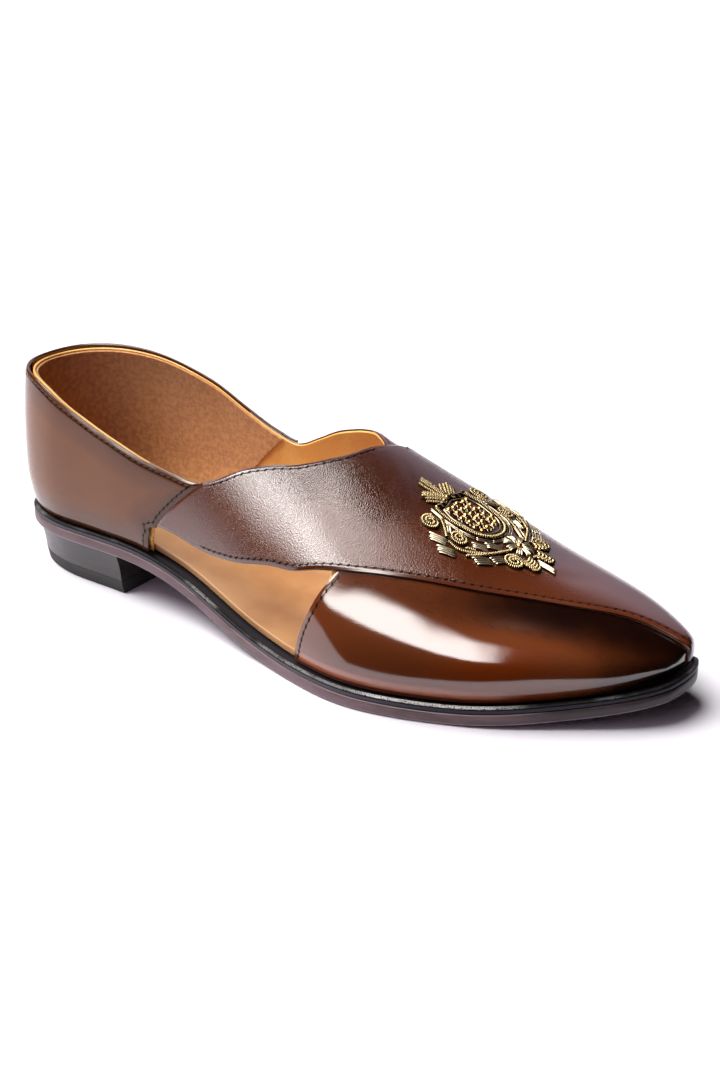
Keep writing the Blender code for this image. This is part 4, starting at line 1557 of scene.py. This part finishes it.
# The soft lights are areas of the studio's walls, each given by its middle's azimuth and
# elevation. The key light's own shape is in add_world.
KEY_MIDDLE = (-5.0, 48.0)
KEY_RADIANCE = 9.5
TOP_MIDDLE = (-112.0, 72.0)
TOP_RADIUS = 14.0
TOP_RADIANCE = 8.6
SIDE_MIDDLE = (-66.0, 46.0)
SIDE_RADIUS = 14.0
SIDE_RADIANCE = 16.0
SUN_SPREAD = 50


def add_sun(name, azimuth, elevation, power, colour=(1, 1, 1)):
    """Distant soft light that brightens surfaces without showing in their gloss."""
    light = bpy.data.lights.new(name, "SUN")
    light.energy = power
    light.color = colour
    light.angle = np.radians(SUN_SPREAD)
    lamp = bpy.data.objects.new(name, light)
    towards = Vector(direction(azimuth, elevation))
    lamp.rotation_euler = towards.to_track_quat("Z", "Y").to_euler()
    lamp.visible_glossy = False
    bpy.context.collection.objects.link(lamp)


def add_world():
    """What the gloss reflects: a large soft key light in front and above, two smaller ones to the
    left and overhead, a white card low behind the shoe, near dark elsewhere. The camera sees plain
    white."""
    world = bpy.data.worlds.new("studio")
    bpy.context.scene.world = world
    world.use_nodes = True
    world.cycles_visibility.diffuse = False
    studio = Nodes(world.node_tree)
    studio.tree.nodes.clear()
    place = studio.add("ShaderNodeTexCoord").outputs["Generated"]
    math, times, ramp = studio.math, studio.times, studio.between

    def along_axis(axis):
        inputs = {0: place, 1: tuple(float(part) for part in axis)}
        made = studio.add("ShaderNodeVectorMath", inputs, operation="DOT_PRODUCT")
        return made.outputs["Value"]

    right, above, towards = axes_about(*KEY_MIDDLE)
    facing = along_axis(towards)
    front = math("MAXIMUM", facing, 0.05)
    u = math("DIVIDE", along_axis(right), front)
    v = math("DIVIDE", along_axis(above), front)
    key = ramp(math("MULTIPLY_ADD", u, -0.17, v), -0.385, -0.325)
    for value, low, high in (
        (math("MULTIPLY_ADD", u, -0.93, v), 0.39, 0.2),
        (math("MULTIPLY_ADD", v, 0.43, u), 0.5, 0.35),
        (u, -0.72, -0.62),
        (v, 0.62, 0.42),
        (facing, 0.1, 0.3),
    ):
        key = times(key, ramp(value, low, high))

    def disc(middle, radius):
        spread = np.cos(np.radians([radius + 4, radius - 4]))
        return ramp(along_axis(direction(*middle)), *(float(part) for part in spread))

    height = along_axis((0, 0, 1))
    card = times(ramp(height, 0.61, 0.5), ramp(along_axis((0, 1, 0)), 0.1, 0.5))
    card = times(card, ramp(along_axis((1, 0, 0)), 0.1, -0.06))
    card = times(card, math("MULTIPLY_ADD", height, 1.1, 0.45))

    def glow(colour, strength):
        inputs = {"Color": colour, "Strength": strength}
        return studio.add("ShaderNodeBackground", inputs).outputs[0]

    lit = glow((0.018, 0.01, 0.006), 1.0)
    for share, colour, strength in (
        (key, (1.0, 0.975, 0.95), KEY_RADIANCE),
        (disc(SIDE_MIDDLE, SIDE_RADIUS), (1.0, 0.985, 0.97), SIDE_RADIANCE),
        (disc(TOP_MIDDLE, TOP_RADIUS), (1.0, 0.96, 0.93), TOP_RADIANCE),
        (card, (0.92, 0.8, 0.97), 0.86),
    ):
        part = glow(colour, times(share, strength))
        lit = studio.add("ShaderNodeAddShader", {0: lit, 1: part}).outputs[0]
    seen = studio.add("ShaderNodeLightPath").outputs["Is Camera Ray"]
    both = {0: seen, 1: lit, 2: glow((1.0, 1.0, 1.0), 1.2)}
    both = studio.add("ShaderNodeMixShader", both).outputs[0]
    studio.add("ShaderNodeOutputWorld", {"Surface": both})


# White table top, whose front and right edges are close to the shoe (mm, the last's axes).
FLOOR = ((-3000, 3000), (-3000, -2900), (20, -225), (176, -78), (210, -72), (272, -62))
FLOOR += ((296, -32), (320, -22), (330, 3000))


def add_floor():
    made = Finish("plain_floor", Roughness=0.9, Specular_IOR_Level=0.0)
    made.set(Base_Color=made.mix(made.noise(0.002, 1), (0.72, 0.7, 0.73), (0.73, 0.71, 0.74)))
    corners = [(x, y, 0) for x, y in FLOOR]
    floor = add_mesh("floor", corners, [tuple(range(len(FLOOR)))], made.material)
    floor.location = (0, 0, -0.2 * MM)


add_camera()
add_world()
add_sun("overhead", -75, 60, 6.2)
add_sun("front_fill", -10, 42, 0.6, (1.0, 0.8, 1.0))
add_floor()
build_sole()
build_upper()
build_crest()
bpy.context.scene.view_settings.view_transform = "Standard"
